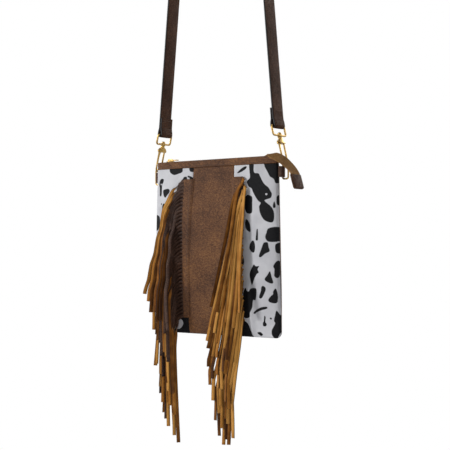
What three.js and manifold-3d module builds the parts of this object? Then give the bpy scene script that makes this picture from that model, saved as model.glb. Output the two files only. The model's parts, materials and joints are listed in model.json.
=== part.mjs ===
// Flat crossbody pouch with two long leather fringes, a top zipper and a hung strap.
// Millimetres, +Z up. X runs along the pouch, -Y is its front, and the origin is on the
// underside of the strap, at the top of its arch, where the bag hangs from a peg.

import * as THREE from 'three';
import { mergeVertices } from 'three/addons/utils/BufferGeometryUtils.js';
import Module from 'manifold-3d';

const wasm = await Module();
wasm.setup();

// Clearance between two pieces that touch or turn on each other
const CLEAR = 0.3;

// Pouch: half widths at the top and the bottom, height, fullness and wall
const HALF_TOP = 109;
const HALF_BOTTOM = 114;
const HEIGHT = 250;
const CORNER_R = 9;
const WALL = 1.6;
const FULL = 9.5;
const MOUTH_SHARE = 0.45;
const FULL_BY = 0.35;

// Leather band round the mouth
const BAND_H = 10.5;
const BAND_WALL = 2.1;

// Centre panel: half widths at the top and the bottom
const CENTRE_TOP = 36.5;
const CENTRE_BOTTOM = 46;

// Fringes: uncut header, then thongs cut from its outer edge
const LEATHER = 1.4;
const ROOT_X = 52;
const FRINGE_TOP = 27;
const THONG_PITCH = 5.4;
const THONG_W = 4.0;
const THONG_T = 1.0;
const THONG_L = 190;
const COLUMN_PITCH = 5.3;
const LAYER_PITCH = 4.4;
const FALL_RATIO = 2.7;
const TWIST_ANGLE = 35;
const TWIST_SWING = 0.2;
const TURN_RUN = 9;
const TWIST_IN = 12;
const TWIST_WAVE = 35;
const LAYER_IN_ANGLE = 50;
const HANG_STEP = 45;
const SINK = 1;
const REACH = 50;
// Layers of thongs from the top one, which hangs in front: how many, and the longest reach
const LAYERS = [
  { count: 9, reachShare: 1 },
  { count: 8, reachShare: 1 },
  { count: 7, reachShare: 0.88 },
  { count: 7, reachShare: 0.76 },
  { count: 6, reachShare: 0.68 },
];

// Zipper: tapes, teeth, slider and its puller
const ZIP_HALF = HALF_TOP - 25;
const TAPE_T = 1;
const TAPE_PAST_SHARE = 0.3;
const TAPE_TOP = -0.5;
const TOOTH_REACH = 1.1;
const TOOTH_ROOT = 1.9;
const TOOTH_PITCH = 5;
const TOOTH_T = 2;
const SLIDER_X = -(ZIP_HALF + 2);
const SLIDER_L = 11;
const SLIDER_W = 7.6;
const SLIDER_T = 1.2;
const CROWN_HALF = 3.2;
const CROWN_W = 2.2;
const CROWN_T = 1;
const PULLER_L = 16;
const PULLER_W = 6.6;
const PULLER_T = 1.2;
const STOP_L = 3;

// Tail of the zipper, and its leather end
const TAIL_W = 21;
const TAIL_T = 1.8;
const TAIL_Y = -12.5;
const TAIL_TILT = 20;
const END_L = 20;
const END_W = 22;
const END_T = 3.2;

// Side tabs with their D-rings, on the line of the strap
const STRAP_Y = 7;
const TAB_TOP = -14.5;
const TAB_H = 15;
const TAB_T = 1.6;
const D_WIRE = 1.2;
const D_DEPTH = 9;
const D_CORNER = 2;
const D_BOW = 3;
const HOOK_OVER_TAB = 1;

// Swivel snap hooks
const HOOK_LEAN = 14;
const HOOK_WIRE = 1.3;
const HOOK_HALF = 5.4;
const HOOK_DROP = 36;
const HOOK_TIP = 5;
const HOOK_REST = 0.8;
const LOOP_WIRE = 1.4;
const LOOP_INNER = 27;
const LOOP_H = 14.5;
const LOOP_CORNER = 3;
const BOSS_R = 3.4;
const BOSS_HALF = 2.2;
const POST_R = 1.4;
const HEAD_R = 2.6;
const HEAD_H = 2;
const COLLAR_R = 3.2;
const COLLAR_H = 2.5;
const BLOCK_H = 7;
const BLOCK_HALF_X = 2.9;
const GATE_T = 2;
const GATE_W = 2;
const PIN_R = 0.8;
const PIN_DOWN = 9;
const PIN_IN = 3.4;

// Strap: a flat band folded round the bar of each hook's loop
const STRAP_W = 24.5;
const STRAP_T = 2.8;
const STRAP_LEG = 490;
const ARCH_R = 58;
const ARCH_STEPS = 17;
const FOLD_L = 24;

const RAD = Math.PI / 180;

// How finely the round and curved pieces are divided
const WIRE_SIDES = 8;
const PANEL_ROWS = 12;
const SIDE_COLUMNS = 6;
const CENTRE_COLUMNS = 4;
const BACK_COLUMNS = 14;
const BAND_COLUMNS = 18;
const THONG_STEPS = 6;
const TURN_STEPS = 4;

function lerp(a, b, t) {
  return a + (b - a) * t;
}

function smooth(t) {
  const c = Math.min(1, Math.max(0, t));
  return c * c * (3 - 2 * c);
}

// Geometry from points and triangles, turned so that its faces point out
function solidOf(points, triangles) {
  let volume = 0;
  for (const [a, b, c] of triangles) {
    const cross = new THREE.Vector3().crossVectors(points[b], points[c]);
    volume += points[a].dot(cross);
  }
  const ordered = volume < 0 ? triangles.map(([a, b, c]) => [a, c, b]) : triangles;
  const geometry = new THREE.BufferGeometry();
  const flat = points.flatMap((p) => [p.x, p.y, p.z]);
  geometry.setAttribute('position', new THREE.Float32BufferAttribute(flat, 3));
  geometry.setIndex(ordered.flat());
  return geometry;
}

// Closed sheet between two surfaces, each given as a function of (s, r) in 0..1
function sheet(outer, inner, columns, rows) {
  const points = [];
  const triangles = [];
  const stride = columns + 1;
  const layer = stride * (rows + 1);
  for (const surface of [outer, inner]) {
    for (let r = 0; r <= rows; r += 1) {
      for (let s = 0; s <= columns; s += 1) points.push(surface(s / columns, r / rows));
    }
  }
  for (let r = 0; r < rows; r += 1) {
    for (let s = 0; s < columns; s += 1) {
      const a = r * stride + s;
      const b = a + stride;
      triangles.push([a, a + 1, b + 1], [a, b + 1, b]);
      triangles.push([layer + a, layer + b + 1, layer + a + 1]);
      triangles.push([layer + a, layer + b, layer + b + 1]);
    }
  }
  const rim = [];
  for (let s = 0; s < columns; s += 1) rim.push(s);
  for (let r = 0; r < rows; r += 1) rim.push(r * stride + columns);
  for (let s = columns; s > 0; s -= 1) rim.push(rows * stride + s);
  for (let r = rows; r > 0; r -= 1) rim.push(r * stride);
  rim.forEach((a, i) => {
    const b = rim[(i + 1) % rim.length];
    triangles.push([a, layer + a, layer + b], [a, layer + b, b]);
  });
  return solidOf(points, triangles);
}

// Solid through a row of sections with equally many points; a closed one has no ends
function loft(sections, closed) {
  const n = sections[0].length;
  const points = sections.flat();
  const triangles = [];
  const spans = closed ? sections.length : sections.length - 1;
  for (let k = 0; k < spans; k += 1) {
    const next = (k + 1) % sections.length;
    for (let i = 0; i < n; i += 1) {
      const a = k * n + i;
      const b = k * n + ((i + 1) % n);
      const c = next * n + i;
      const d = next * n + ((i + 1) % n);
      triangles.push([a, b, d], [a, d, c]);
    }
  }
  if (!closed) {
    const last = (sections.length - 1) * n;
    for (let i = 1; i < n - 1; i += 1) {
      triangles.push([0, i + 1, i], [last, last + i, last + i + 1]);
    }
  }
  return solidOf(points, triangles);
}

// Round wire along points that lie in one plane with the given normal
function wire(path, radius, normal, closed, sides = WIRE_SIDES) {
  const count = path.length;
  const sections = path.map((point, i) => {
    const before = closed ? path[(i + count - 1) % count] : path[Math.max(0, i - 1)];
    const after = closed ? path[(i + 1) % count] : path[Math.min(count - 1, i + 1)];
    const along = after.clone().sub(before).normalize();
    const side = new THREE.Vector3().crossVectors(normal, along);
    const section = [];
    for (let k = 0; k < sides; k += 1) {
      const angle = ((k + 0.5) / sides) * 2 * Math.PI;
      const offset = side.clone().multiplyScalar(Math.cos(angle) * radius);
      section.push(point.clone().add(offset).addScaledVector(normal, Math.sin(angle) * radius));
    }
    return section;
  });
  return loft(sections, closed);
}

// Arc points in 2-D, both ends included
function arc(cx, cy, radius, from, to, steps) {
  const points = [];
  for (let i = 0; i <= steps; i += 1) {
    const angle = lerp(from, to, i / steps) * RAD;
    points.push(new THREE.Vector2(cx + radius * Math.cos(angle), cy + radius * Math.sin(angle)));
  }
  return points;
}

function toManifold(geometry) {
  const bare = geometry.clone();
  bare.deleteAttribute('normal');
  bare.deleteAttribute('uv');
  const merged = mergeVertices(bare, 1e-4);
  const index = merged.index.array;
  const whole = [];
  for (let i = 0; i < index.length; i += 3) {
    const [a, b, c] = index.slice(i, i + 3);
    if (a !== b && b !== c && c !== a) whole.push(a, b, c);
  }
  return new wasm.Manifold(new wasm.Mesh({
    numProp: 3,
    vertProperties: Float32Array.from(merged.attributes.position.array),
    triVerts: Uint32Array.from(whole),
  }));
}

function fromManifold(solid) {
  const mesh = solid.getMesh();
  const geometry = new THREE.BufferGeometry();
  geometry.setAttribute('position', new THREE.Float32BufferAttribute(mesh.vertProperties, 3));
  geometry.setIndex(Array.from(mesh.triVerts));
  return geometry;
}

function joined(geometries) {
  return fromManifold(geometries.map(toManifold).reduce((a, b) => a.add(b)));
}

function cutBy(geometry, tools) {
  return fromManifold(tools.map(toManifold).reduce((a, b) => a.subtract(b), toManifold(geometry)));
}

// Outline in two axes extruded along the third; 'XZ' extrudes along Y, 'YZ' along X
function extruded(shape, plane, depth, steps = 6) {
  const options = { depth, bevelEnabled: false, curveSegments: steps };
  const geometry = new THREE.ExtrudeGeometry(shape, options);
  geometry.translate(0, 0, -depth / 2);
  geometry.rotateX(Math.PI / 2);
  if (plane === 'YZ') geometry.rotateZ(Math.PI / 2);
  return geometry;
}

function rod(radius, length, axis, sides = 16) {
  const geometry = new THREE.CylinderGeometry(radius, radius, length, sides);
  if (axis === 'Z') geometry.rotateX(Math.PI / 2);
  if (axis === 'X') geometry.rotateZ(Math.PI / 2);
  return geometry;
}

// Materials
const FABRIC = new THREE.MeshStandardMaterial({ color: 0xc9c9ce, roughness: 0.85, metalness: 0 });
const BROWN = new THREE.MeshStandardMaterial({ color: 0x6b4a36, roughness: 0.6, metalness: 0 });
const SUEDE = new THREE.MeshStandardMaterial({ color: 0xb07a30, roughness: 0.95, metalness: 0 });
const DARK = new THREE.MeshStandardMaterial({ color: 0x4a382e, roughness: 0.6, metalness: 0 });
const TAPE = new THREE.MeshStandardMaterial({ color: 0x6a4c30, roughness: 0.9, metalness: 0 });
const GOLD = new THREE.MeshStandardMaterial({ color: 0xd0ac66, roughness: 0.25, metalness: 1 });

const bag = new THREE.Group();

function place(name, geometry, material, parent = bag) {
  const mesh = new THREE.Mesh(geometry, material);
  mesh.name = name;
  parent.add(mesh);
  return mesh;
}

// Half width of the pouch at a height: flared downwards, with rounded bottom corners
function halfWidth(z) {
  const flare = lerp(HALF_TOP, HALF_BOTTOM, -z / HEIGHT);
  const into = Math.max(0, CORNER_R - (HEIGHT + z));
  return flare - CORNER_R + Math.sqrt(Math.max(0, CORNER_R ** 2 - into ** 2));
}

// Half width of the centre panel at a height
function centreHalf(z) {
  return lerp(CENTRE_TOP, CENTRE_BOTTOM, -z / HEIGHT);
}

// How far a face of the pouch swells, 0 at the seams and FULL in the middle
function swell(x, z) {
  const across = Math.min(1, Math.abs(x) / halfWidth(z));
  const down = Math.min(1, -z / HEIGHT);
  const side = Math.sqrt(1 - across ** 6);
  const rise = lerp(MOUTH_SHARE, 1, smooth(down / FULL_BY)) * Math.sqrt(1 - down ** 6);
  return FULL * side * rise;
}

// Distance of a face's outer surface from the middle plane, for a wall of the given thickness
function faceDepth(x, z, wall = WALL) {
  return CLEAR / 2 + wall + swell(x, z);
}

// Panel between two sides, each a function of z, on the front (-1) or the back (+1)
function panel(leftAt, rightAt, top, bottom, facing, wall, columns, rows, easing) {
  const surface = (extra) => (s, r) => {
    const z = lerp(top, bottom, bottom <= -HEIGHT ? Math.sin((r * Math.PI) / 2) : r);
    const x = lerp(leftAt(z), rightAt(z), easing(s));
    return new THREE.Vector3(x, facing * (faceDepth(x, z, 0) + extra), z);
  };
  return sheet(surface(wall), surface(0), columns, rows);
}

const PANEL_TOP = -(BAND_H + CLEAR);
const fineRight = (s) => Math.sin((s * Math.PI) / 2);
const fineLeft = (s) => 1 - Math.cos((s * Math.PI) / 2);
const fineBoth = (s) => (1 - Math.cos(s * Math.PI)) / 2;
const even = (s) => s;
const seam = (z) => centreHalf(z) + CLEAR / 2;
const inset = (z) => centreHalf(z) - CLEAR / 2;

const leftRim = (z) => -halfWidth(z);
const leftSeam = (z) => -seam(z);
const leftInset = (z) => -inset(z);

function bodyPanel(leftAt, rightAt, facing, columns, easing) {
  return panel(leftAt, rightAt, PANEL_TOP, -HEIGHT, facing, WALL, columns, PANEL_ROWS, easing);
}

function topBand(facing) {
  return panel(leftRim, halfWidth, 0, -BAND_H, facing, BAND_WALL, BAND_COLUMNS, 2, fineBoth);
}

place('left_front_panel', bodyPanel(leftRim, leftSeam, -1, SIDE_COLUMNS, fineLeft), FABRIC);
place('centre_panel', bodyPanel(leftInset, inset, -1, CENTRE_COLUMNS, even), BROWN);
place('right_front_panel', bodyPanel(seam, halfWidth, -1, SIDE_COLUMNS, fineRight), FABRIC);
place('back_panel', bodyPanel(leftRim, halfWidth, 1, BACK_COLUMNS, fineBoth), BROWN);
place('front_top_band', topBand(-1), BROWN);
place('back_top_band', topBand(1), BROWN);

// Fringes. The header lies on the pouch's face; below it the thongs hang in layers, each
// layer in front of those cut lower down. In a layer the highest thong reaches out furthest.
const THONGS = LAYERS.reduce((sum, layer) => sum + layer.count, 0);
const FRINGE_L = THONGS * THONG_PITCH;
const MOST_TWIST = TWIST_ANGLE * (1 + TWIST_SWING) * RAD;
const THONG_HALF = (THONG_W * Math.sin(MOST_TWIST) + THONG_T * Math.cos(MOST_TWIST)) / 2;
const FIRST_LAYER = faceDepth(0, -HEIGHT / 2) + CLEAR + LEATHER + CLEAR + THONG_HALF;

const thongs = [];
LAYERS.forEach((layer, level) => {
  for (let k = 0; k < layer.count; k += 1) {
    const z = -FRINGE_TOP - (thongs.length + 0.5) * THONG_PITCH;
    thongs.push({ level, z, reach: REACH * layer.reachShare - k * COLUMN_PITCH });
  }
});
const layerStarts = LAYERS.map((layer, level) => thongs.find((thong) => thong.level === level).z);

// Distance in front of the middle plane of a layer at a height, pushed out by those behind it
function layerDepth(level, z) {
  let depth = FIRST_LAYER;
  for (let behind = level + 1; behind < LAYERS.length; behind += 1) {
    const near = layerStarts[behind] + THONG_PITCH;
    depth += LAYER_PITCH * smooth((near + 4 * THONG_PITCH - z) / (4 * THONG_PITCH));
  }
  return depth;
}

// Section of a thong: its width turned about the direction in which it runs
function thongSection(centre, along, across, turn) {
  const thick = new THREE.Vector3().crossVectors(along, across).normalize();
  const wide = across.clone().multiplyScalar(Math.cos(turn)).addScaledVector(thick, Math.sin(turn));
  const thin = new THREE.Vector3().crossVectors(along, wide).normalize();
  return [[1, 1], [-1, 1], [-1, -1], [1, -1]].map(([a, b]) => centre.clone()
    .addScaledVector(wide, (a * THONG_W) / 2).addScaledVector(thin, (b * THONG_T) / 2));
}

// Hanging run of a thong from (x, z): a quarter of an ellipse, then straight down. The thongs
// of a layer turn together, like the slats of a blind, so that they pass side by side
function hangingRun(x, thong, length, fromDepth, steps) {
  const fall = FALL_RATIO * thong.reach;
  const sections = [];
  let run = 0;
  let last = null;
  const add = (px, pz, slope, depth) => {
    const centre = new THREE.Vector3(px, -depth, pz);
    if (last) run += centre.distanceTo(last);
    last = centre;
    const along = new THREE.Vector3(-Math.cos(slope), 0, -Math.sin(slope));
    const across = new THREE.Vector3(-Math.sin(slope), 0, Math.cos(slope));
    const swing = 1 + TWIST_SWING * Math.sin(pz / TWIST_WAVE + 2 * thong.level);
    const turn = TWIST_ANGLE * RAD * swing * smooth(run / TWIST_IN);
    sections.push(thongSection(centre, along, across, turn));
  };
  for (let i = 0; i <= steps; i += 1) {
    const angle = (i / steps) * (Math.PI / 2);
    const pz = thong.z - fall * (1 - Math.cos(angle));
    const share = smooth(angle / (LAYER_IN_ANGLE * RAD));
    const depth = lerp(fromDepth, layerDepth(thong.level, pz), share);
    const slope = Math.atan2(fall * Math.sin(angle), thong.reach * Math.cos(angle));
    add(x - thong.reach * Math.sin(angle), pz, slope, depth);
  }
  const rest = length - run;
  const pieces = Math.max(1, Math.round(rest / HANG_STEP));
  const end = last.clone();
  for (let i = 1; i <= pieces; i += 1) {
    const pz = end.z - (rest * i) / pieces;
    add(end.x, pz, Math.PI / 2, layerDepth(thong.level, pz));
  }
  return sections;
}

function fringeHeader(side) {
  const z = (r) => -FRINGE_TOP - r * FRINGE_L;
  const surface = (extra) => (s, r) => {
    const x = side * lerp(centreHalf(z(r)) + CLEAR, ROOT_X, s);
    return new THREE.Vector3(x, -(faceDepth(x, z(r)) + CLEAR + extra), z(r));
  };
  return sheet(surface(LEATHER), surface(0), 2, 18);
}

// Left thongs run straight out from the header; right ones first turn back over themselves,
// so that their suede side shows
function leftThong(thong) {
  const depth = faceDepth(ROOT_X, thong.z) + CLEAR + LEATHER / 2;
  return loft(hangingRun(-ROOT_X + SINK, thong, THONG_L, depth, THONG_STEPS), false);
}

function rightThong(thong) {
  const depth = faceDepth(ROOT_X, thong.z) + CLEAR + LEATHER / 2;
  const front = layerDepth(thong.level, thong.z);
  const radius = (front - depth) / 2;
  const turnX = ROOT_X + TURN_RUN;
  const up = new THREE.Vector3(0, 0, 1);
  const start = new THREE.Vector3(ROOT_X - SINK, -depth, thong.z);
  const sections = [thongSection(start, new THREE.Vector3(1, 0, 0), up, 0)];
  for (let i = 0; i < TURN_STEPS; i += 1) {
    const angle = (i / TURN_STEPS) * Math.PI;
    const out = depth + radius * (1 - Math.cos(angle));
    const centre = new THREE.Vector3(turnX + radius * Math.sin(angle), -out, thong.z);
    const along = new THREE.Vector3(Math.cos(angle), -Math.sin(angle), 0);
    sections.push(thongSection(centre, along, up, 0));
  }
  const length = THONG_L - TURN_RUN - SINK - Math.PI * radius;
  sections.push(...hangingRun(turnX, thong, length, front, THONG_STEPS));
  return loft(sections, false);
}

place('left_fringe', joined([fringeHeader(-1), ...thongs.map(leftThong)]), BROWN);
place('right_fringe', joined([fringeHeader(1), ...thongs.map(rightThong)]), SUEDE);

// Zipper. Its teeth are two combs that mesh on the middle plane, each sewn to a tape
function mouthHalf(x) {
  return CLEAR / 2 + swell(x, -BAND_H / 2) - CLEAR;
}

function tape(facing) {
  const end = lerp(ZIP_HALF, HALF_TOP, TAPE_PAST_SHARE);
  const inner = facing * (TOOTH_ROOT + CLEAR);
  const outline = [];
  for (let i = 0; i <= 16; i += 1) {
    const x = -end + (2 * end * i) / 16;
    outline.push(new THREE.Vector2(x, facing * Math.min(mouthHalf(x), mouthHalf(x * 1.02))));
  }
  outline.push(new THREE.Vector2(end, inner), new THREE.Vector2(-end, inner));
  const flat = { depth: TAPE_T, bevelEnabled: false };
  const geometry = new THREE.ExtrudeGeometry(new THREE.Shape(outline), flat);
  return geometry.translate(0, 0, TAPE_TOP - TAPE_T);
}

function teeth(facing) {
  const width = TOOTH_PITCH / 2 - CLEAR;
  const outline = [new THREE.Vector2(-ZIP_HALF, facing * TOOTH_ROOT)];
  const count = Math.floor((2 * ZIP_HALF - TOOTH_PITCH) / TOOTH_PITCH);
  const first = -ZIP_HALF + TOOTH_PITCH / 2 + (facing > 0 ? 0 : TOOTH_PITCH / 2);
  const base = facing * (TOOTH_ROOT - 0.5);
  const top = -facing * TOOTH_REACH;
  outline.push(new THREE.Vector2(-ZIP_HALF, base));
  for (let i = 0; i < count; i += 1) {
    const x = first + i * TOOTH_PITCH;
    outline.push(new THREE.Vector2(x - width / 2, base), new THREE.Vector2(x - width / 2, top));
    outline.push(new THREE.Vector2(x + width / 2, top), new THREE.Vector2(x + width / 2, base));
  }
  outline.push(new THREE.Vector2(ZIP_HALF, base), new THREE.Vector2(ZIP_HALF, facing * TOOTH_ROOT));
  const flat = { depth: TOOTH_T, bevelEnabled: false };
  const geometry = new THREE.ExtrudeGeometry(new THREE.Shape(outline), flat);
  return geometry.translate(0, 0, TAPE_TOP - TAPE_T / 2 - TOOTH_T / 2);
}

for (const [name, facing] of [['front', -1], ['back', 1]]) {
  place(`${name}_zipper_tape`, tape(facing), TAPE);
  place(`${name}_zipper_teeth`, teeth(facing), GOLD);
}

const TEETH_TOP = TAPE_TOP - TAPE_T / 2 + TOOTH_T / 2;
const PLATE_BOTTOM = TEETH_TOP + CLEAR;
const PLATE_TOP = PLATE_BOTTOM + SLIDER_T;
const PULLER_Z = PLATE_TOP + CLEAR + PULLER_T * 0.6;
const CROWN_TOP = PULLER_Z + PULLER_T * 0.6 + CLEAR + CROWN_T;

function sliderPlate() {
  const shape = new THREE.Shape();
  const half = SLIDER_L / 2;
  const wide = SLIDER_W / 2;
  shape.moveTo(-half, -wide * 0.7);
  shape.quadraticCurveTo(0, -wide * 1.25, half, -wide * 0.7);
  shape.lineTo(half, wide * 0.7);
  shape.quadraticCurveTo(0, wide * 1.25, -half, wide * 0.7);
  shape.closePath();
  const options = { depth: SLIDER_T, bevelEnabled: false, curveSegments: 6 };
  return new THREE.ExtrudeGeometry(shape, options);
}

function crown() {
  const shape = new THREE.Shape();
  const outer = CROWN_HALF + CROWN_T;
  shape.moveTo(-outer, PLATE_TOP - 0.5);
  shape.lineTo(-outer, CROWN_TOP - CROWN_T);
  shape.quadraticCurveTo(-outer, CROWN_TOP, -CROWN_HALF, CROWN_TOP);
  shape.lineTo(CROWN_HALF, CROWN_TOP);
  shape.quadraticCurveTo(outer, CROWN_TOP, outer, CROWN_TOP - CROWN_T);
  shape.lineTo(outer, PLATE_TOP - 0.5);
  shape.lineTo(CROWN_HALF, PLATE_TOP - 0.5);
  shape.lineTo(CROWN_HALF, CROWN_TOP - CROWN_T);
  shape.lineTo(-CROWN_HALF, CROWN_TOP - CROWN_T);
  shape.lineTo(-CROWN_HALF, PLATE_TOP - 0.5);
  shape.closePath();
  return extruded(shape, 'XZ', CROWN_W, 3);
}

const slider = new THREE.Group();
slider.position.set(SLIDER_X, 0, 0);
bag.add(slider);
place('zipper_slider', joined([sliderPlate().translate(0, 0, PLATE_BOTTOM), crown()]), GOLD, slider);
const lowerPlate = sliderPlate().scale(1, 0.8, 1);
place('zipper_slider_base', lowerPlate.translate(0, 0, TEETH_TOP - TOOTH_T - CLEAR - SLIDER_T), GOLD, slider);

function pullerPlate() {
  const shape = new THREE.Shape();
  const half = PULLER_W / 2;
  const bar = PULLER_T * 0.5;
  shape.moveTo(-bar, -half);
  shape.lineTo(PULLER_L - half, -half * 0.8);
  shape.absarc(PULLER_L - half, 0, half * 0.8, -Math.PI / 2, Math.PI / 2, false);
  shape.lineTo(-bar, half);
  shape.closePath();
  const window = new THREE.Path();
  const inner = CROWN_W / 2 + CLEAR + 0.2;
  const reach = Math.hypot(CROWN_HALF + CROWN_T, CROWN_TOP - PULLER_Z) + CLEAR;
  window.moveTo(bar, -inner);
  window.lineTo(bar, inner);
  window.lineTo(reach, inner);
  window.lineTo(reach, -inner);
  window.closePath();
  shape.holes.push(window);
  const eye = new THREE.Path();
  eye.absarc(PULLER_L - half, 0, half * 0.4, 0, 2 * Math.PI, true);
  shape.holes.push(eye);
  const options = { depth: PULLER_T, bevelEnabled: false, curveSegments: 8 };
  return new THREE.ExtrudeGeometry(shape, options);
}

const puller = place('zipper_puller', pullerPlate().translate(0, 0, -PULLER_T / 2), GOLD, slider);
puller.position.set(0, 0, PULLER_Z);

const stopShape = new THREE.BoxGeometry(STOP_L, 2 * TOOTH_ROOT, TOOTH_T);
const stop = place('zipper_end_stop', stopShape, GOLD);
stop.position.set(-ZIP_HALF - CLEAR - STOP_L / 2, 0, TEETH_TOP - TOOTH_T / 2);

// Tail of the zipper: it comes up between the tapes, spreads flat over the front band, passes
// in front of the right hook and hangs past the end of the pouch
function zipperTail() {
  const narrow = 2 * TOOTH_ROOT;
  const over = TAIL_T / 2 + CLEAR;
  const stations = [
    { x: ZIP_HALF + CLEAR, y: 0, z: TEETH_TOP - TOOTH_T / 2, width: narrow, tilt: 0 },
    { x: ZIP_HALF + 6, y: 0, z: over, width: narrow, tilt: 0 },
    { x: ZIP_HALF + 13, y: 0.3 * TAIL_Y, z: over + 0.9, width: 0.55 * TAIL_W, tilt: 0.3 * TAIL_TILT },
    { x: ZIP_HALF + 20, y: 0.75 * TAIL_Y, z: over, width: 0.9 * TAIL_W, tilt: 0.7 * TAIL_TILT },
    { x: HALF_TOP + 3, y: TAIL_Y, z: over - 2.6, width: TAIL_W, tilt: TAIL_TILT },
    { x: HALF_TOP + 14, y: TAIL_Y, z: -6.5, width: TAIL_W, tilt: 0.9 * TAIL_TILT },
    { x: HALF_TOP + 24, y: TAIL_Y, z: -14, width: TAIL_W, tilt: 0.6 * TAIL_TILT },
    { x: HALF_TOP + 31, y: TAIL_Y, z: -20.5, width: TAIL_W, tilt: 0.3 * TAIL_TILT },
    { x: HALF_TOP + 35.5, y: TAIL_Y, z: -26, width: TAIL_W, tilt: 0 },
    { x: HALF_TOP + 36.5, y: TAIL_Y, z: -29, width: TAIL_W, tilt: 0 },
  ];
  const sections = stations.map((at, i) => {
    const before = stations[Math.max(0, i - 1)];
    const after = stations[Math.min(stations.length - 1, i + 1)];
    const level = i === 0 || i === stations.length - 1;
    const along = new THREE.Vector3(after.x - before.x, 0, after.z - before.z);
    if (level) along.set(i === 0 ? 1 : 0, 0, i === 0 ? 0 : -1);
    const across = new THREE.Vector3(0, Math.cos(at.tilt * RAD), Math.sin(at.tilt * RAD));
    const thick = new THREE.Vector3().crossVectors(along, across).normalize();
    const centre = new THREE.Vector3(at.x, at.y, at.z);
    return [[1, 1], [-1, 1], [-1, -1], [1, -1]].map(([a, b]) => centre.clone()
      .addScaledVector(across, (a * at.width) / 2).addScaledVector(thick, (b * TAIL_T) / 2));
  });
  return { geometry: loft(sections, false), end: stations[stations.length - 1] };
}

function roundedRect(width, height, radius) {
  const shape = new THREE.Shape();
  const w = width / 2;
  const h = height / 2;
  shape.moveTo(-w, h);
  shape.lineTo(-w, -h + radius);
  shape.absarc(-w + radius, -h + radius, radius, Math.PI, 1.5 * Math.PI, false);
  shape.absarc(w - radius, -h + radius, radius, 1.5 * Math.PI, 2 * Math.PI, false);
  shape.lineTo(w, h);
  shape.closePath();
  return shape;
}

const tail = zipperTail();
place('zipper_tail', tail.geometry, TAPE);
place('zipper_tail_end', extruded(roundedRect(END_W, END_L, 3), 'YZ', END_T, 3), DARK)
  .position.set(tail.end.x, tail.end.y, tail.end.z - CLEAR - END_L / 2);

// Side tabs: leather folded round the bar of a D-ring and sewn along the side seam
const EYE_R = D_WIRE + CLEAR;
const BAR_X = halfWidth(TAB_TOP - TAB_H) + CLEAR + TAB_T;
const D_TOP = TAB_TOP + HOOK_OVER_TAB + 2 * HOOK_WIRE + HOOK_REST + D_WIRE;
const D_BOTTOM = TAB_TOP - TAB_H - CLEAR - D_CORNER;

function sideTab(side) {
  const outer = EYE_R + TAB_T;
  const meet = Math.asin(TAB_T / outer) / RAD;
  const foot = -(CLEAR / 2 + WALL);
  const outline = arc(0, 0, outer, -90 + meet, 270 - meet, 12);
  outline.push(new THREE.Vector2(-TAB_T, foot - STRAP_Y), new THREE.Vector2(TAB_T, foot - STRAP_Y));
  const shape = new THREE.Shape(outline);
  shape.holes.push(new THREE.Path(arc(0, 0, EYE_R, 0, 330, 11)));
  const geometry = new THREE.ExtrudeGeometry(shape, { depth: TAB_H, bevelEnabled: false });
  return geometry.translate(side * BAR_X, STRAP_Y, TAB_TOP - TAB_H);
}

function dRing(side) {
  const outline = [
    ...arc(D_CORNER, D_TOP - D_CORNER, D_CORNER, 180, 90, 3),
    ...arc(D_DEPTH - D_BOW, D_TOP - D_BOW, D_BOW, 90, 0, 4),
    ...arc(D_DEPTH - D_BOW, D_BOTTOM + D_BOW, D_BOW, 0, -90, 4),
    ...arc(D_CORNER, D_BOTTOM + D_CORNER, D_CORNER, 270, 180, 3),
  ].filter((point, i, all) => i === 0 || point.distanceTo(all[i - 1]) > 1e-6);
  const path = outline.map((point) => new THREE.Vector3(side * point.x, 0, point.y));
  return wire(path, D_WIRE, new THREE.Vector3(0, 1, 0), true);
}

// Swivel hook, about an axis that runs down from the bar of its loop
const HOOK_END = HOOK_DROP + HOOK_HALF;
const HOOK_REACH = HOOK_END - HOOK_WIRE - D_WIRE - HOOK_REST;
const BLOCK_TOP = -(BOSS_HALF + CLEAR + COLLAR_H);

function loopRing() {
  const half = LOOP_INNER / 2 + LOOP_WIRE;
  const flat = half - LOOP_CORNER;
  const corners = [[flat, LOOP_H - LOOP_CORNER, 0], [-flat, LOOP_H - LOOP_CORNER, 90],
    [-flat, LOOP_CORNER, 180], [flat, LOOP_CORNER, 270]];
  const path = corners.flatMap(([y, z, from]) => arc(y, z, LOOP_CORNER, from, from + 90, 4))
    .map((point) => new THREE.Vector3(0, point.x, point.y));
  const ring = wire(path, LOOP_WIRE, new THREE.Vector3(1, 0, 0), true);
  const boss = rod(BOSS_R, 2 * BOSS_HALF, 'Z');
  return cutBy(joined([ring, boss]), [rod(POST_R + CLEAR, 4 * BOSS_HALF, 'Z', 12)]);
}

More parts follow.
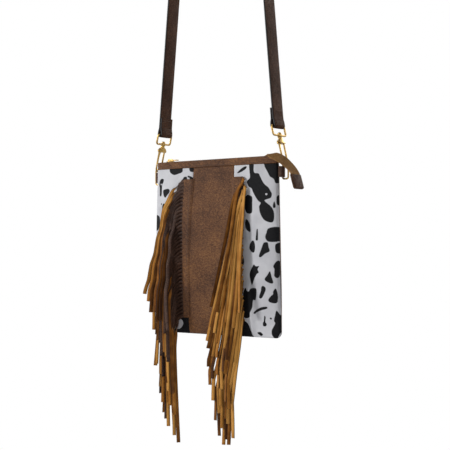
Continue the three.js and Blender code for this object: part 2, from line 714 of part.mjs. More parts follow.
function hookSolid() {
  const seat = BOSS_HALF + CLEAR;
  const profile = [[0, BLOCK_TOP - 0.6], [0.8 * COLLAR_R, BLOCK_TOP - 0.6], [COLLAR_R, BLOCK_TOP + 0.4],
    [COLLAR_R, -seat - 0.4], [COLLAR_R - 0.4, -seat], [POST_R, -seat], [POST_R, seat], [HEAD_R, seat],
    [HEAD_R, seat + 0.4 * HEAD_H], [0.6 * HEAD_R, seat + 0.95 * HEAD_H], [0, seat + HEAD_H]];
  const post = new THREE.LatheGeometry(profile.map(([r, z]) => new THREE.Vector2(r, z)), 12);
  post.rotateX(Math.PI / 2);
  const shape = new THREE.Shape();
  const low = BLOCK_TOP - BLOCK_H;
  const out = HOOK_HALF + HOOK_WIRE + CLEAR;
  shape.moveTo(-2.6, BLOCK_TOP);
  shape.quadraticCurveTo(-out, BLOCK_TOP, -out, BLOCK_TOP - 3);
  shape.lineTo(-out, low + 1.5);
  shape.lineTo(-out + 1.5, low);
  shape.lineTo(out, low);
  shape.lineTo(out, BLOCK_TOP - 3);
  shape.quadraticCurveTo(out, BLOCK_TOP, 2.6, BLOCK_TOP);
  shape.closePath();
  const block = extruded(shape, 'YZ', 2 * BLOCK_HALF_X, 4);
  const bend = arc(0, -HOOK_DROP, HOOK_HALF, 0, -180, 8);
  const route = [[HOOK_HALF, BLOCK_TOP - 0.7 * BLOCK_H], [HOOK_HALF, -0.55 * HOOK_DROP],
    ...bend.map((point) => [point.x, point.y]), [-HOOK_HALF, -HOOK_DROP + HOOK_TIP]];
  const path = route.map(([y, z]) => new THREE.Vector3(0, y, z));
  const bow = wire(path, HOOK_WIRE, new THREE.Vector3(1, 0, 0), false);
  const slotTop = -PIN_DOWN + GATE_W + CLEAR;
  const slot = new THREE.BoxGeometry(GATE_T + 2 * CLEAR, 2 * out, slotTop - low + 2);
  slot.translate(0, -out, (slotTop + low - 2) / 2);
  const pinHole = rod(PIN_R + CLEAR, 4 * BLOCK_HALF_X, 'X', 12);
  pinHole.translate(0, -PIN_IN, -PIN_DOWN);
  return cutBy(joined([post, block, bow]), [slot, pinHole]);
}

// Gate that closes the hook: an eye on its pin, a thumb piece and a lever down to the tip
function gateSolid() {
  const end = -HOOK_DROP + HOOK_TIP + CLEAR;
  const half = 0.85 * HOOK_WIRE;
  const outline = arc(-PIN_IN, -PIN_DOWN, GATE_W, 0, 150, 6);
  outline.push(
    new THREE.Vector2(-PIN_IN - 4.8, -PIN_DOWN + 1.2),
    new THREE.Vector2(-PIN_IN - 5.4, -PIN_DOWN - 0.2),
    new THREE.Vector2(-HOOK_HALF - half - 0.2, -PIN_DOWN - 3.4),
    new THREE.Vector2(-HOOK_HALF - half, end),
    new THREE.Vector2(-HOOK_HALF + half, end),
    new THREE.Vector2(-HOOK_HALF + half + 1.1, -PIN_DOWN - 5),
  );
  const shape = new THREE.Shape(outline);
  const hole = arc(-PIN_IN, -PIN_DOWN, PIN_R + CLEAR, 0, 330, 11);
  shape.holes.push(new THREE.Path(hole));
  return extruded(shape, 'YZ', GATE_T);
}

// One side of the bag: its tab, D-ring and hook; side is -1 on the left and +1 on the right
const HOOK_X = BAR_X + (D_CORNER + D_DEPTH - D_BOW) / 2 - HOOK_REACH * Math.sin(HOOK_LEAN * RAD);
const HOOK_Z = D_TOP + HOOK_REACH * Math.cos(HOOK_LEAN * RAD);
for (const [name, side] of [['left', -1], ['right', 1]]) {
  place(`${name}_side_tab`, sideTab(side), BROWN);
  place(`${name}_d_ring`, dRing(side), GOLD).position.set(side * BAR_X, STRAP_Y, 0);
  const hang = new THREE.Group();
  hang.position.set(side * HOOK_X, STRAP_Y, HOOK_Z);
  hang.rotation.y = -side * HOOK_LEAN * RAD;
  bag.add(hang);
  place(`${name}_loop`, loopRing(), GOLD, hang);
  place(`${name}_hook`, hookSolid(), GOLD, hang);
  place(`${name}_gate`, gateSolid(), GOLD, hang);
  const pin = place(`${name}_gate_pin`, rod(PIN_R, 2 * BLOCK_HALF_X, 'X', 10), GOLD, hang);
  pin.position.set(0, -PIN_IN, -PIN_DOWN);
}

// Strap: two straight legs that lean in to the arch, each folded up round its loop's bar
const FOOT_X = HOOK_X - LOOP_H * Math.sin(HOOK_LEAN * RAD);
const FOOT_Z = HOOK_Z + LOOP_H * Math.cos(HOOK_LEAN * RAD);
const STRAP_LEAN = Math.asin(FOOT_X / Math.hypot(STRAP_LEG, ARCH_R)) - Math.atan2(ARCH_R, STRAP_LEG);
const ARCH_Z = FOOT_Z + STRAP_LEG * Math.cos(STRAP_LEAN) - ARCH_R * Math.sin(STRAP_LEAN);

function strapSolid() {
  const fold = LOOP_WIRE + CLEAR + STRAP_T;
  const lean = STRAP_LEAN / RAD;
  const foot = (side) => {
    const at = (across, up) => new THREE.Vector2(
      side * (FOOT_X + across * Math.cos(STRAP_LEAN) - up * Math.sin(STRAP_LEAN)),
      FOOT_Z + across * Math.sin(STRAP_LEAN) + up * Math.cos(STRAP_LEAN),
    );
    const round = arc(0, 0, fold, 0, -180, 8).map((point) => at(point.x, point.y));
    return [at(STRAP_T, 9), ...round, at(-STRAP_T, 9), at(-STRAP_T, FOLD_L), at(0, FOLD_L)];
  };
  const outline = [
    ...arc(0, ARCH_Z, ARCH_R + STRAP_T, lean, 180 - lean, ARCH_STEPS),
    ...foot(-1),
    ...arc(0, ARCH_Z, ARCH_R, 180 - lean, lean, ARCH_STEPS),
    ...foot(1).reverse(),
  ];
  const shape = new THREE.Shape(outline);
  for (const side of [-1, 1]) {
    shape.holes.push(new THREE.Path(arc(side * FOOT_X, FOOT_Z, LOOP_WIRE + CLEAR, 0, 337.5, 15)));
  }
  return extruded(shape, 'XZ', STRAP_W);
}

place('strap', strapSolid(), DARK).position.set(0, STRAP_Y, 0);

// The origin comes to the flat under the top of the strap's arch
const ARCH_STEP = (Math.PI - 2 * STRAP_LEAN) / ARCH_STEPS;
bag.position.set(0, -STRAP_Y, -(ARCH_Z + ARCH_R * Math.cos(ARCH_STEP / 2)));

export default bag;
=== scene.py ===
# %% [markdown]
# # A flat crossbody pouch with two long fringes
#
# The bag is a thin pouch with cow-spot side panels, a brown leather middle, two fringes of
# leather thongs, a zipper, and a long strap on two swivel hooks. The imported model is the
# frame: it gives each part's place, size and motion. Here each soft part is made again as a
# smooth surface, and each finish gets its grain, weave or shine from nodes.

# %% Load the frame
import json
import math

import bpy
import numpy as np
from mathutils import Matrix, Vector


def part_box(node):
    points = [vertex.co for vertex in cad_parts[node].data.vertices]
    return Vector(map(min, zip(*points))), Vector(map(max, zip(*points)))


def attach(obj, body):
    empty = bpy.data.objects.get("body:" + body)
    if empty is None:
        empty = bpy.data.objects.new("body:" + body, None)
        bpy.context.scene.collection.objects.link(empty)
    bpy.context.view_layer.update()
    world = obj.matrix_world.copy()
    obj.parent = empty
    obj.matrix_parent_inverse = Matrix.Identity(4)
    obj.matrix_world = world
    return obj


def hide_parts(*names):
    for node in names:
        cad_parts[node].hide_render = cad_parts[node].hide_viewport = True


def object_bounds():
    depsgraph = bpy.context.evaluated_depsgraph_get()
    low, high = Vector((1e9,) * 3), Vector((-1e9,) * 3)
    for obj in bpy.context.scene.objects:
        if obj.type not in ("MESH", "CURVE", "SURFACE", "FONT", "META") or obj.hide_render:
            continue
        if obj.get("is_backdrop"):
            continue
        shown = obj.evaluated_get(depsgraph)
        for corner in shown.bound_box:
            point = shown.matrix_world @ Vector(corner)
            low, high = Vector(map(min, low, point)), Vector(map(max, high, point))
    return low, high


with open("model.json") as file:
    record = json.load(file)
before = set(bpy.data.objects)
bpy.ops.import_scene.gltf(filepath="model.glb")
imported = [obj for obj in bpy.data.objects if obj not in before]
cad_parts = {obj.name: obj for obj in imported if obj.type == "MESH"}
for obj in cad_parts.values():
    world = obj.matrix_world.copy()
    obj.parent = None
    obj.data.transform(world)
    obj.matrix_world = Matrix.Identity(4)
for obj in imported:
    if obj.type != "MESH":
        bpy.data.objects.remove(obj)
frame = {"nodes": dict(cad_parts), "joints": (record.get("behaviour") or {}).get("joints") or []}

cad_box = [list(corner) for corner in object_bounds()]
print("nodes in the frame:", len(frame["nodes"]))

# %% [markdown]
# ## Units and the pouch's own axes
#
# The real bag is easiest to describe from its mouth: millimetres, X along the pouch, -Y its
# front, Z up from the rim. The frame's origin is far above, under the top of the strap. The
# zipper bands sit on the rim and on the middle plane, so their boxes tell where both are.

# %% The pouch's axes
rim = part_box("front_top_band")[1]
back_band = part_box("back_top_band")[0]
POUCH = np.array([0.0, 500 * (rim.y + back_band.y), 1000 * rim.z])
CLEAR = 0.3
SIDES = (("left", -1), ("right", 1))


def to_frame(points):
    """Pouch millimetres to frame metres: add the rim's place, then divide by a thousand."""
    return (np.asarray(points, float) + POUCH) / 1000


print("rim of the pouch, in frame mm:", POUCH.round(2))

# %% [markdown]
# ## From arrays to meshes
#
# Every piece here is a table of points with rows and columns, and its faces join each point to
# its neighbours. A closed table can be a sheet with a front, a back and a rim, or a section
# carried along a path. Whole arrays are computed at once, so no loop visits single points.

# %% Table of faces
def lerp(a, b, t):
    """Straight blend: a when t is 0, b when t is 1."""
    return a + (b - a) * t


def smooth(t):
    """Soft step: 3 t squared minus 2 t cubed, held between 0 and 1."""
    c = np.clip(t, 0, 1)
    return c * c * (3 - 2 * c)


def table_quads(rows, cols, wrap_rows=False, wrap_cols=False, first=0):
    """Four-sided faces between neighbouring points of a table of rows by cols points."""
    r = np.arange(rows if wrap_rows else rows - 1)[:, None]
    c = np.arange(cols if wrap_cols else cols - 1)[None, :]
    r1, c1 = (r + 1) % rows, (c + 1) % cols
    quads = np.stack([r * cols + c, r * cols + c1, r1 * cols + c1, r1 * cols + c], -1)
    return quads.reshape(-1, 4) + first


def volume_sign(points, quads):
    """Sign of the enclosed volume: the sum of each face's corner point times its area vector."""
    a, b, c, d = (points[quads[:, i]] for i in range(4))
    return np.sign(np.sum(a * np.cross(c - a, d - b)))


print("faces of a 3 by 4 table:", len(table_quads(3, 4)))

# %% Points and faces into a mesh
def put(name, points, quads, ends=(), slots=(), face_slots=None, values=None, uv=None):
    """A mesh object at the origin, its points in pouch millimetres, with faces turned out."""
    quads = np.asarray(quads)
    turned = volume_sign(np.asarray(points, float), quads) < 0
    if turned:
        quads = quads[:, ::-1]
    faces = quads.tolist() + [list(e)[::-1] if turned else list(e) for e in ends]
    mesh = bpy.data.meshes.new(name)
    mesh.from_pydata(to_frame(points).tolist(), [], faces)
    mesh.polygons.foreach_set("use_smooth", np.ones(len(faces), bool))
    for material in slots:
        mesh.materials.append(material)
    if face_slots is not None:
        mesh.polygons.foreach_set("material_index", np.asarray(face_slots, np.int32))
    for label, each in (values or {}).items():
        mesh.attributes.new(label, "FLOAT", "POINT").data.foreach_set(
            "value", np.asarray(each, np.float32).ravel())
    if uv is not None:
        corner = np.zeros(len(mesh.loops), np.int32)
        mesh.loops.foreach_get("vertex_index", corner)
        mesh.uv_layers.new(name="UVMap").data.foreach_set(
            "uv", np.asarray(uv, np.float32).reshape(-1, 2)[corner].ravel())
    mesh.validate()
    mesh.update()
    piece = bpy.data.objects.new(name, mesh)
    bpy.context.scene.collection.objects.link(piece)
    return piece


def placed(piece, body, nodes=()):
    """The piece rides on a body and stands in for its CAD nodes."""
    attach(piece, body)
    if nodes:
        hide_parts(*nodes)
    print(piece.name, len(piece.data.polygons), "faces")
    return piece


def shell(outer, inner):
    """A closed sheet: the outer table, the inner table, and a rim that joins their borders."""
    rows, cols, _ = outer.shape
    layer = rows * cols
    index = np.arange(layer).reshape(rows, cols)
    rim_loop = np.concatenate([index[0, :-1], index[:-1, -1], index[-1, :0:-1], index[:0:-1, 0]])
    following = np.roll(rim_loop, -1)
    front = table_quads(rows, cols)
    back = table_quads(rows, cols, first=layer)[:, ::-1]
    edge = np.stack([following, rim_loop, rim_loop + layer, following + layer], -1)
    points = np.concatenate([outer.reshape(-1, 3), inner.reshape(-1, 3)])
    return points, np.concatenate([front, back, edge])


def tube(sections, closed=False):
    """A table of sections wrapped round into a tube, with flat ends unless it is closed."""
    rows, cols, _ = sections.shape
    quads = table_quads(rows, cols, wrap_rows=closed, wrap_cols=True)
    last = (rows - 1) * cols
    ends = [] if closed else [list(range(cols))[::-1], [last + i for i in range(cols)]]
    return sections.reshape(-1, 3), quads, ends


def gathered(parts):
    """Several (points, quads, ends) as one, each part's point numbers moved past the last."""
    points, quads, ends, first = [], [], [], 0
    for part_points, part_quads, part_ends in parts:
        points.append(part_points)
        quads.append(part_quads + first)
        ends += [[i + first for i in end] for end in part_ends]
        first += len(part_points)
    return np.concatenate(points), np.concatenate(quads), ends


print("mesh helpers ready")

# %% Paths through points
def unit(vectors):
    """The same directions, each with length one."""
    return vectors / np.linalg.norm(vectors, axis=-1, keepdims=True)


def turned_about(axis, angle, v):
    """A direction turned about an axis by each angle: the part along the axis stays as it is."""
    kept = axis * (axis @ v)
    return kept + np.cos(angle)[:, None] * (v - kept) + np.sin(angle)[:, None] * np.cross(axis, v)


def catmull_rom(a, b, c, d, steps):
    """Each span from b to c in equal steps, bent by the points a before it and d after it."""
    t = (np.arange(steps) / steps)[None, :, None]
    curve = 0.5 * (2 * b + (c - a) * t + (2 * a - 5 * b + 4 * c - d) * t ** 2
                   + (3 * b - a - 3 * c + d) * t ** 3)
    return curve.reshape(-1, b.shape[-1])


def rounded_outline(corners, steps=6):
    """Closed smooth curve through the corners."""
    p = np.asarray(corners, float)
    return catmull_rom(*(np.roll(p, s, 0)[:, None, :] for s in (1, 0, -1, -2)), steps)


def curved(points, steps=8):
    """Smooth open curve through the points, with the two ends held."""
    p = np.asarray(points, float)
    p = np.vstack([2 * p[0] - p[1], p, 2 * p[-1] - p[-2]])
    spans = catmull_rom(*(p[i:len(p) - 3 + i][:, None, :] for i in range(4)), steps)
    return np.vstack([spans, p[-2]])


def arc(cx, cy, radius, start, end, steps):
    """Points of a circle's arc, in degrees, both ends included."""
    angle = np.radians(np.linspace(start, end, steps + 1))
    return np.stack([cx + radius * np.cos(angle), cy + radius * np.sin(angle)], -1)


def run_of(path):
    """How far each point of a path lies from its first one, along the path."""
    return np.concatenate([[0], np.cumsum(np.linalg.norm(np.diff(path, axis=0), axis=1))])


def points_at(path, at):
    """Points of the path at the given distances from its first one."""
    run = run_of(path)
    return np.stack([np.interp(at, run, path[:, k]) for k in range(3)], -1)


def evened(path, step, closed=False):
    """The same path with points at equal steps of its length."""
    p = np.vstack([path, path[:1]]) if closed else np.asarray(path, float)
    length = run_of(p)[-1]
    even = points_at(p, np.linspace(0, length, max(3, int(round(length / step)) + 1)))
    return even[:-1] if closed else even


print("points of a quarter circle in 4 steps:", len(arc(0, 0, 1, 0, 90, 4)))

# %% [markdown]
# ## Finishes
#
# The real bag has seven: printed fabric, mottled brown leather, dark strap leather, thong
# leather that is grain on one side and suede on the other, woven zipper tape, thread and bright
# gold metal. Each is built from noise, wave and cell textures on the object's own coordinates,
# in metres, so its grain keeps its real scale.

# %% Small node helpers
def linear(red, green, blue):
    """A screen colour, 0 to 255, as the linear colour that the shader wants."""
    c = np.array([red, green, blue]) / 255
    return tuple(np.where(c <= 0.04045, c / 12.92, ((c + 0.055) / 1.055) ** 2.4)) + (1.0,)


def join(tree, node, **inputs):
    """A node's inputs, set to values or joined to other sockets.

    An input goes by its label with _ for each space, or by its number, as in _0."""
    for label, value in inputs.items():
        number = label[1:]
        socket = node.inputs[int(number) if number.isdigit() else label.replace("_", " ")]
        if isinstance(value, bpy.types.NodeSocket):
            tree.links.new(value, socket)
        else:
            socket.default_value = value


def add(tree, kind, settings=None, **inputs):
    """A new node with its settings and its inputs."""
    made = tree.nodes.new(kind)
    for label, value in (settings or {}).items():
        setattr(made, label, value)
    join(tree, made, **inputs)
    return made


def finish(name):
    """A new material: its node tree, its shader, and the object's own coordinates."""
    made = bpy.data.materials.new(name)
    made.use_nodes = True
    tree = made.node_tree
    shader = tree.nodes["Principled BSDF"]
    where = tree.nodes.new("ShaderNodeTexCoord").outputs["Object"]
    return made, tree, shader, where


def noise(tree, where, scale, detail=3.0, rough=0.55):
    """Clouds between 0 and 1, about `scale` of them to a metre."""
    return add(tree, "ShaderNodeTexNoise", Vector=where, Scale=scale, Detail=detail,
               Roughness=rough).outputs["Fac"]


def ramp(tree, value, *stops):
    """A colour for each value: stops are (place from 0 to 1, colour)."""
    made = add(tree, "ShaderNodeValToRGB", Fac=value)
    while len(made.color_ramp.elements) < len(stops):
        made.color_ramp.elements.new(0.5)
    for element, (place, colour) in zip(made.color_ramp.elements, stops):
        element.position = place
        element.color = colour
    return made.outputs["Color"]


def mixed(tree, share, a, b):
    """Colour a where the share is 0, colour b where it is 1."""
    return add(tree, "ShaderNodeMix", {"data_type": "RGBA"}, _0=share, _6=a, _7=b).outputs[2]


def sums(tree, kind, a, b, c=0.0):
    """One step of arithmetic on two or three values."""
    return add(tree, "ShaderNodeMath", {"operation": kind}, _0=a, _1=b, _2=c).outputs[0]


def stretch(tree, value, low, high, to_low=0.0, to_high=1.0):
    """The value's range from low to high, stretched over the new range and held there."""
    return add(tree, "ShaderNodeMapRange", Value=value, From_Min=low, From_Max=high,
               To_Min=to_low, To_Max=to_high).outputs[0]


def bumped(tree, shader, height, distance, strength=0.5):
    """Fine relief: heights from 0 to 1, over a distance in metres."""
    made = add(tree, "ShaderNodeBump", Height=height, Distance=distance, Strength=strength)
    join(tree, shader, Normal=made.outputs["Normal"])


print("node helpers ready")

# %% [markdown]
# ### Spotted fabric
#
# The side panels are a fine pale cloth printed with black blots. Each blot is a closed outline
# of a few points on the panel. The signed distance to the nearest blot is stored on the mesh,
# and the shader turns it into a crisp, slightly feathered edge at any zoom.

# %% Printed fabric, fine weave
def weave(tree, where, pitch, axis_a="X", axis_b="Z"):
    """Crossing threads: two sets of bands, one turned a quarter round, the higher one on top."""
    bands = [add(tree, "ShaderNodeTexWave", {"bands_direction": axis}, Vector=where,
                 Scale=math.pi / (10 * pitch), Distortion=0.6, Detail=1.0,
                 Detail_Scale=2.0).outputs["Fac"] for axis in (axis_a, axis_b)]
    return sums(tree, "MAXIMUM", bands[0], bands[1])


FEATHER, THREAD_PITCH = 0.28, 0.0007
FABRIC, tree, shader, where = finish("spotted_fabric")
blot = add(tree, "ShaderNodeAttribute", {"attribute_name": "blot"}).outputs["Fac"]
ragged = sums(tree, "MULTIPLY_ADD", noise(tree, where, 900, 2.0), 0.5, -0.25)
inside = stretch(tree, sums(tree, "ADD", blot, ragged), -FEATHER, FEATHER, 1.0, 0.0)
pale = ramp(tree, noise(tree, where, 35, 3.0),
            (0.3, linear(194, 194, 199)), (0.7, linear(214, 214, 218)))
black = ramp(tree, noise(tree, where, 500, 3.0),
             (0.3, linear(6, 6, 8)), (0.75, linear(18, 18, 21)))
join(tree, shader, Base_Color=mixed(tree, inside, pale, black),
     Roughness=stretch(tree, inside, 0, 1, 0.78, 0.6), Specular_IOR_Level=0.1)
creased = sums(tree, "MULTIPLY_ADD", noise(tree, where, 260, 4.0), 0.8,
               weave(tree, where, THREAD_PITCH))
bumped(tree, shader, creased, 0.00025)
print(FABRIC.name, len(tree.nodes), "nodes")

# %% [markdown]
# ### Leather
#
# Grained leather is a skin of small pebbles. Cell distance gives the pebbles, and a second
# finer size breaks up their evenness. Noise that is drawn out one way gives the mottled colour,
# a painted highlight on the pebbles' crests, and the fine furrows that run between them. The
# valleys and furrows are darkened with painted shade. All four leathers are one recipe with
# their own colours.

# %% Grained leather
CLOUD, RELIEF = 20, 0.0004


def leather(name, dark, mid, light, pebble, crease=0.3, gloss=0.55, shine=0.2):
    """Pebbles from cell distance and colour from clouds, with a painted highlight on the crests
    and painted shade in the valleys and furrows.
    """
    made, tree, shader, where = finish(name)
    warp = add(tree, "ShaderNodeTexNoise", Vector=where, Scale=0.35 / pebble).outputs["Color"]
    shift = add(tree, "ShaderNodeVectorMath", {"operation": "SCALE"}, _0=warp,
                Scale=pebble * 0.9).outputs[0]
    bent = add(tree, "ShaderNodeVectorMath", {"operation": "ADD"}, _0=where, _1=shift).outputs[0]
    large, small = (add(tree, "ShaderNodeTexVoronoi", {"feature": "DISTANCE_TO_EDGE"},
                        Vector=bent, Scale=1 / size).outputs["Distance"]
                    for size in (pebble, pebble * 0.55))
    coarse = stretch(tree, large, 0.0, 0.22)
    fine = stretch(tree, small, 0.0, 0.25)
    height = sums(tree, "MULTIPLY_ADD", fine, 0.45, coarse)
    drawn = add(tree, "ShaderNodeMapping", Vector=where, Rotation=(0.0, 0.3, 0.0),
                Scale=(0.75, 1.0, 1.35)).outputs[0]
    clouds = sums(tree, "MULTIPLY_ADD", noise(tree, drawn, CLOUD * 24, 4.0, 0.75), 0.66,
                  sums(tree, "MULTIPLY", noise(tree, where, CLOUD, 3.0, 0.6), 0.34))
    colour = ramp(tree, clouds, (0.4, dark), (0.5, mid), (0.62, light))
    # Painted highlight: a light colour laid on the pebbles' crests.
    highlight_spots = sums(tree, "MULTIPLY", fine, noise(tree, drawn, CLOUD * 30, 3.0, 0.6))
    crest_highlight = stretch(tree, highlight_spots, 0.42, 0.8, 0.0, 0.5)
    # Painted shade: the colour turns dark in the valleys between pebbles and along the furrows.
    valley_shade = stretch(tree, coarse, 0.0, 1.0, 0.45, 0.0)
    from_line = sums(tree, "ADD", noise(tree, drawn, CLOUD * 9, 2.0, 0.5), -0.5)
    furrow = stretch(tree, sums(tree, "ABSOLUTE", from_line, 0.0), 0.0, 0.045, crease, 0.0)
    low = sums(tree, "MAXIMUM", valley_shade, furrow)
    join(tree, shader, Base_Color=mixed(tree, low, mixed(tree, crest_highlight, colour, light), dark),
         Roughness=stretch(tree, clouds, 0.35, 0.7, gloss + 0.1, gloss - 0.08),
         Specular_IOR_Level=shine)
    bumped(tree, shader, sums(tree, "MULTIPLY_ADD", furrow, -1.2, height), RELIEF)
    return made


BROWN = leather("brown_leather", linear(60, 36, 21), linear(102, 66, 40), linear(144, 97, 55),
                pebble=0.0015, crease=0.7)
PLAIN = leather("plain_brown_leather", linear(54, 34, 25), linear(84, 55, 39),
                linear(112, 75, 51), pebble=0.0018)
STRAP = leather("strap_leather", linear(42, 26, 17), linear(72, 46, 32), linear(104, 70, 48),
                pebble=0.0014, shine=0.04)
GRAIN = leather("fringe_grain", linear(38, 23, 16), linear(64, 41, 29), linear(94, 63, 46),
                pebble=0.0015, gloss=0.5)
print("leathers:", BROWN.name, PLAIN.name, STRAP.name, GRAIN.name)

# %% [markdown]
# ### Suede
#
# The thongs' inner side is mustard suede: cut fibres that scatter light and lie in patches,
# darker where the nap was brushed away. It darkens towards the cut sides too, partly for the
# cut fibres and partly as painted shade between the strands. Each thong carries a shade of its
# own on the mesh, darker down its run as painted shade, and the fibres are noise drawn out
# along the thong by its UV map.

# %% Mustard suede
SUEDE, tree, shader, where = finish("fringe_suede")
shade = add(tree, "ShaderNodeAttribute", {"attribute_name": "shade"}).outputs["Fac"]
strands = add(tree, "ShaderNodeUVMap", {"uv_map": "UVMap"}).outputs[0]
drawn = add(tree, "ShaderNodeMapping", Vector=strands, Scale=(30.0, 900.0, 1.0)).outputs[0]
streak = noise(tree, drawn, 1.0, 3.0)
patch = noise(tree, where, 70, 3.0)
tone = sums(tree, "MULTIPLY_ADD", patch, 0.45,
            sums(tree, "MULTIPLY_ADD", streak, 0.25, sums(tree, "MULTIPLY", shade, 0.5)))
colour = ramp(tree, tone, (0.28, linear(70, 40, 16)), (0.46, linear(122, 75, 29)),
              (0.64, linear(168, 110, 46)), (0.88, linear(206, 150, 76)))
# Painted shade: darker towards each thong's cut sides, for the cut fibres and for the shade between
# strands.
across = add(tree, "ShaderNodeSeparateXYZ", Vector=strands).outputs["Y"]
cut_side_shade = stretch(tree, sums(tree, "ABSOLUTE", across, 0.0), 0.0016, 0.0026, 0.0, 0.8)
join(tree, shader, Base_Color=mixed(tree, cut_side_shade, colour, linear(58, 33, 16)), Roughness=0.95,
     Sheen_Weight=0.12, Sheen_Roughness=0.5, Specular_IOR_Level=0.08)
bumped(tree, shader, noise(tree, where, 2600, 3.0), 0.00035, 0.6)
print(SUEDE.name, len(tree.nodes), "nodes")

# %% [markdown]
# ### Edge paint, tape, thread and metal
#
# The strap's cut edges are painted black and are smoother than leather. The zipper tape is
# ribbed, the stitches are a waxed brown thread, and the metal is a warm polished gold.

# %% The small finishes
EDGE, tree, shader, where = finish("edge_paint")
join(tree, shader, Roughness=0.45, Specular_IOR_Level=0.2,
     Base_Color=ramp(tree, noise(tree, where, 400, 3.0),
                     (0.3, linear(8, 8, 10)), (0.8, linear(22, 19, 20))))
bumped(tree, shader, noise(tree, where, 900, 3.0), 0.0002, 0.4)

TAPE, tree, shader, where = finish("zipper_tape")
ribs = weave(tree, where, 0.0009, "X", "Y")
# The tape's colour follows the clouds and the ribs, darker where the ribs are low.
tone_from_clouds_and_ribs = sums(tree, "MULTIPLY_ADD", noise(tree, where, 120, 3.0), 0.5,
            sums(tree, "MULTIPLY", ribs, 0.5))
join(tree, shader, Roughness=0.9, Specular_IOR_Level=0.1,
     Base_Color=ramp(tree, tone_from_clouds_and_ribs, (0.3, linear(80, 54, 30)), (0.55, linear(142, 104, 62)),
                     (0.85, linear(174, 134, 86))))
bumped(tree, shader, ribs, 0.0003, 0.7)

THREAD, tree, shader, where = finish("waxed_thread")
join(tree, shader, Roughness=0.6,
     Base_Color=ramp(tree, noise(tree, where, 3000, 2.0),
                     (0.3, linear(48, 30, 20)), (0.7, linear(92, 62, 40))))
bumped(tree, shader, noise(tree, where, 5000, 2.0), 0.0001)

GOLD, tree, shader, where = finish("gold_metal")
join(tree, shader, Metallic=1.0,
     Base_Color=ramp(tree, noise(tree, where, 160, 4.0),
                     (0.3, linear(146, 118, 66)), (0.7, linear(174, 143, 86))),
     Roughness=stretch(tree, noise(tree, where, 300, 4.0), 0.3, 0.7, 0.16, 0.3))
bumped(tree, shader, noise(tree, where, 700, 3.0), 0.00008, 0.25)
print("small finishes:", EDGE.name, TAPE.name, THREAD.name, GOLD.name)

# %% [markdown]
# ## The pouch
#
# Sewn flat bags are pillows with sharp edges: they swell to their fullness in the middle and
# close to a seam at the sides and the bottom. The seam is rounded, because the fabric is
# turned there, and the face has the slow waves of cloth that is held only at its edges.

# %% Shape of the faces
HEIGHT, CORNER, WALL, FULL, MOUTH, FULL_BY = 250.0, 9.0, 1.6, 9.5, 0.45, 0.35
RIM_HALF, BOTTOM_HALF, MIDDLE_RIM, MIDDLE_BOTTOM = 109.0, 114.0, 36.5, 46.0
BAND_H, EDGE_R = 10.5, 2.2


def half_width(z):
    """109 mm at the rim to 114 at the bottom, with the two bottom corners rounded off."""
    into = np.maximum(0, CORNER - (HEIGHT + z))
    return (lerp(RIM_HALF, BOTTOM_HALF, -z / HEIGHT) - CORNER
            + np.sqrt(np.maximum(0, CORNER ** 2 - into ** 2)))


def centre_half(z):
    """Half width of the leather middle: 36.5 mm at the rim to 46 at the bottom."""
    return lerp(MIDDLE_RIM, MIDDLE_BOTTOM, -z / HEIGHT)


def swell(x, z):
    """Fullness times the root of 1 minus the sixth power of the place, across and down."""
    across = np.minimum(1, np.abs(x) / half_width(z))
    down = np.minimum(1, -z / HEIGHT)
    rise = lerp(MOUTH, 1, smooth(down / FULL_BY)) * np.sqrt(1 - down ** 6)
    return FULL * np.sqrt(1 - across ** 6) * rise


def waves(x, z):
    """Slow ripples of held cloth: three sine waves of different lengths, under 0.5 mm in all."""
    fade = smooth(-z / 30) * smooth((HEIGHT + z) / 25)
    return fade * (0.22 * np.sin(x / 17 + z / 41) + 0.16 * np.sin(z / 23 - x / 29)
                   + 0.1 * np.sin(x / 9 - z / 13))


def rounding(x, z):
    """Wall thickness that runs out in a quarter circle over the last 2 mm before an open edge."""
    away = np.minimum(half_width(z) - np.abs(x), HEIGHT + z)
    t = np.clip(away / EDGE_R, 0, 1)
    return WALL * np.sqrt(1 - (1 - t) ** 2)


def face_depth(x, z):
    """How far a face's outer surface stands from the middle plane."""
    return CLEAR / 2 + WALL + swell(x, z)


print("fullest depth, mm:", round(float(face_depth(0.0, -120.0)), 2))
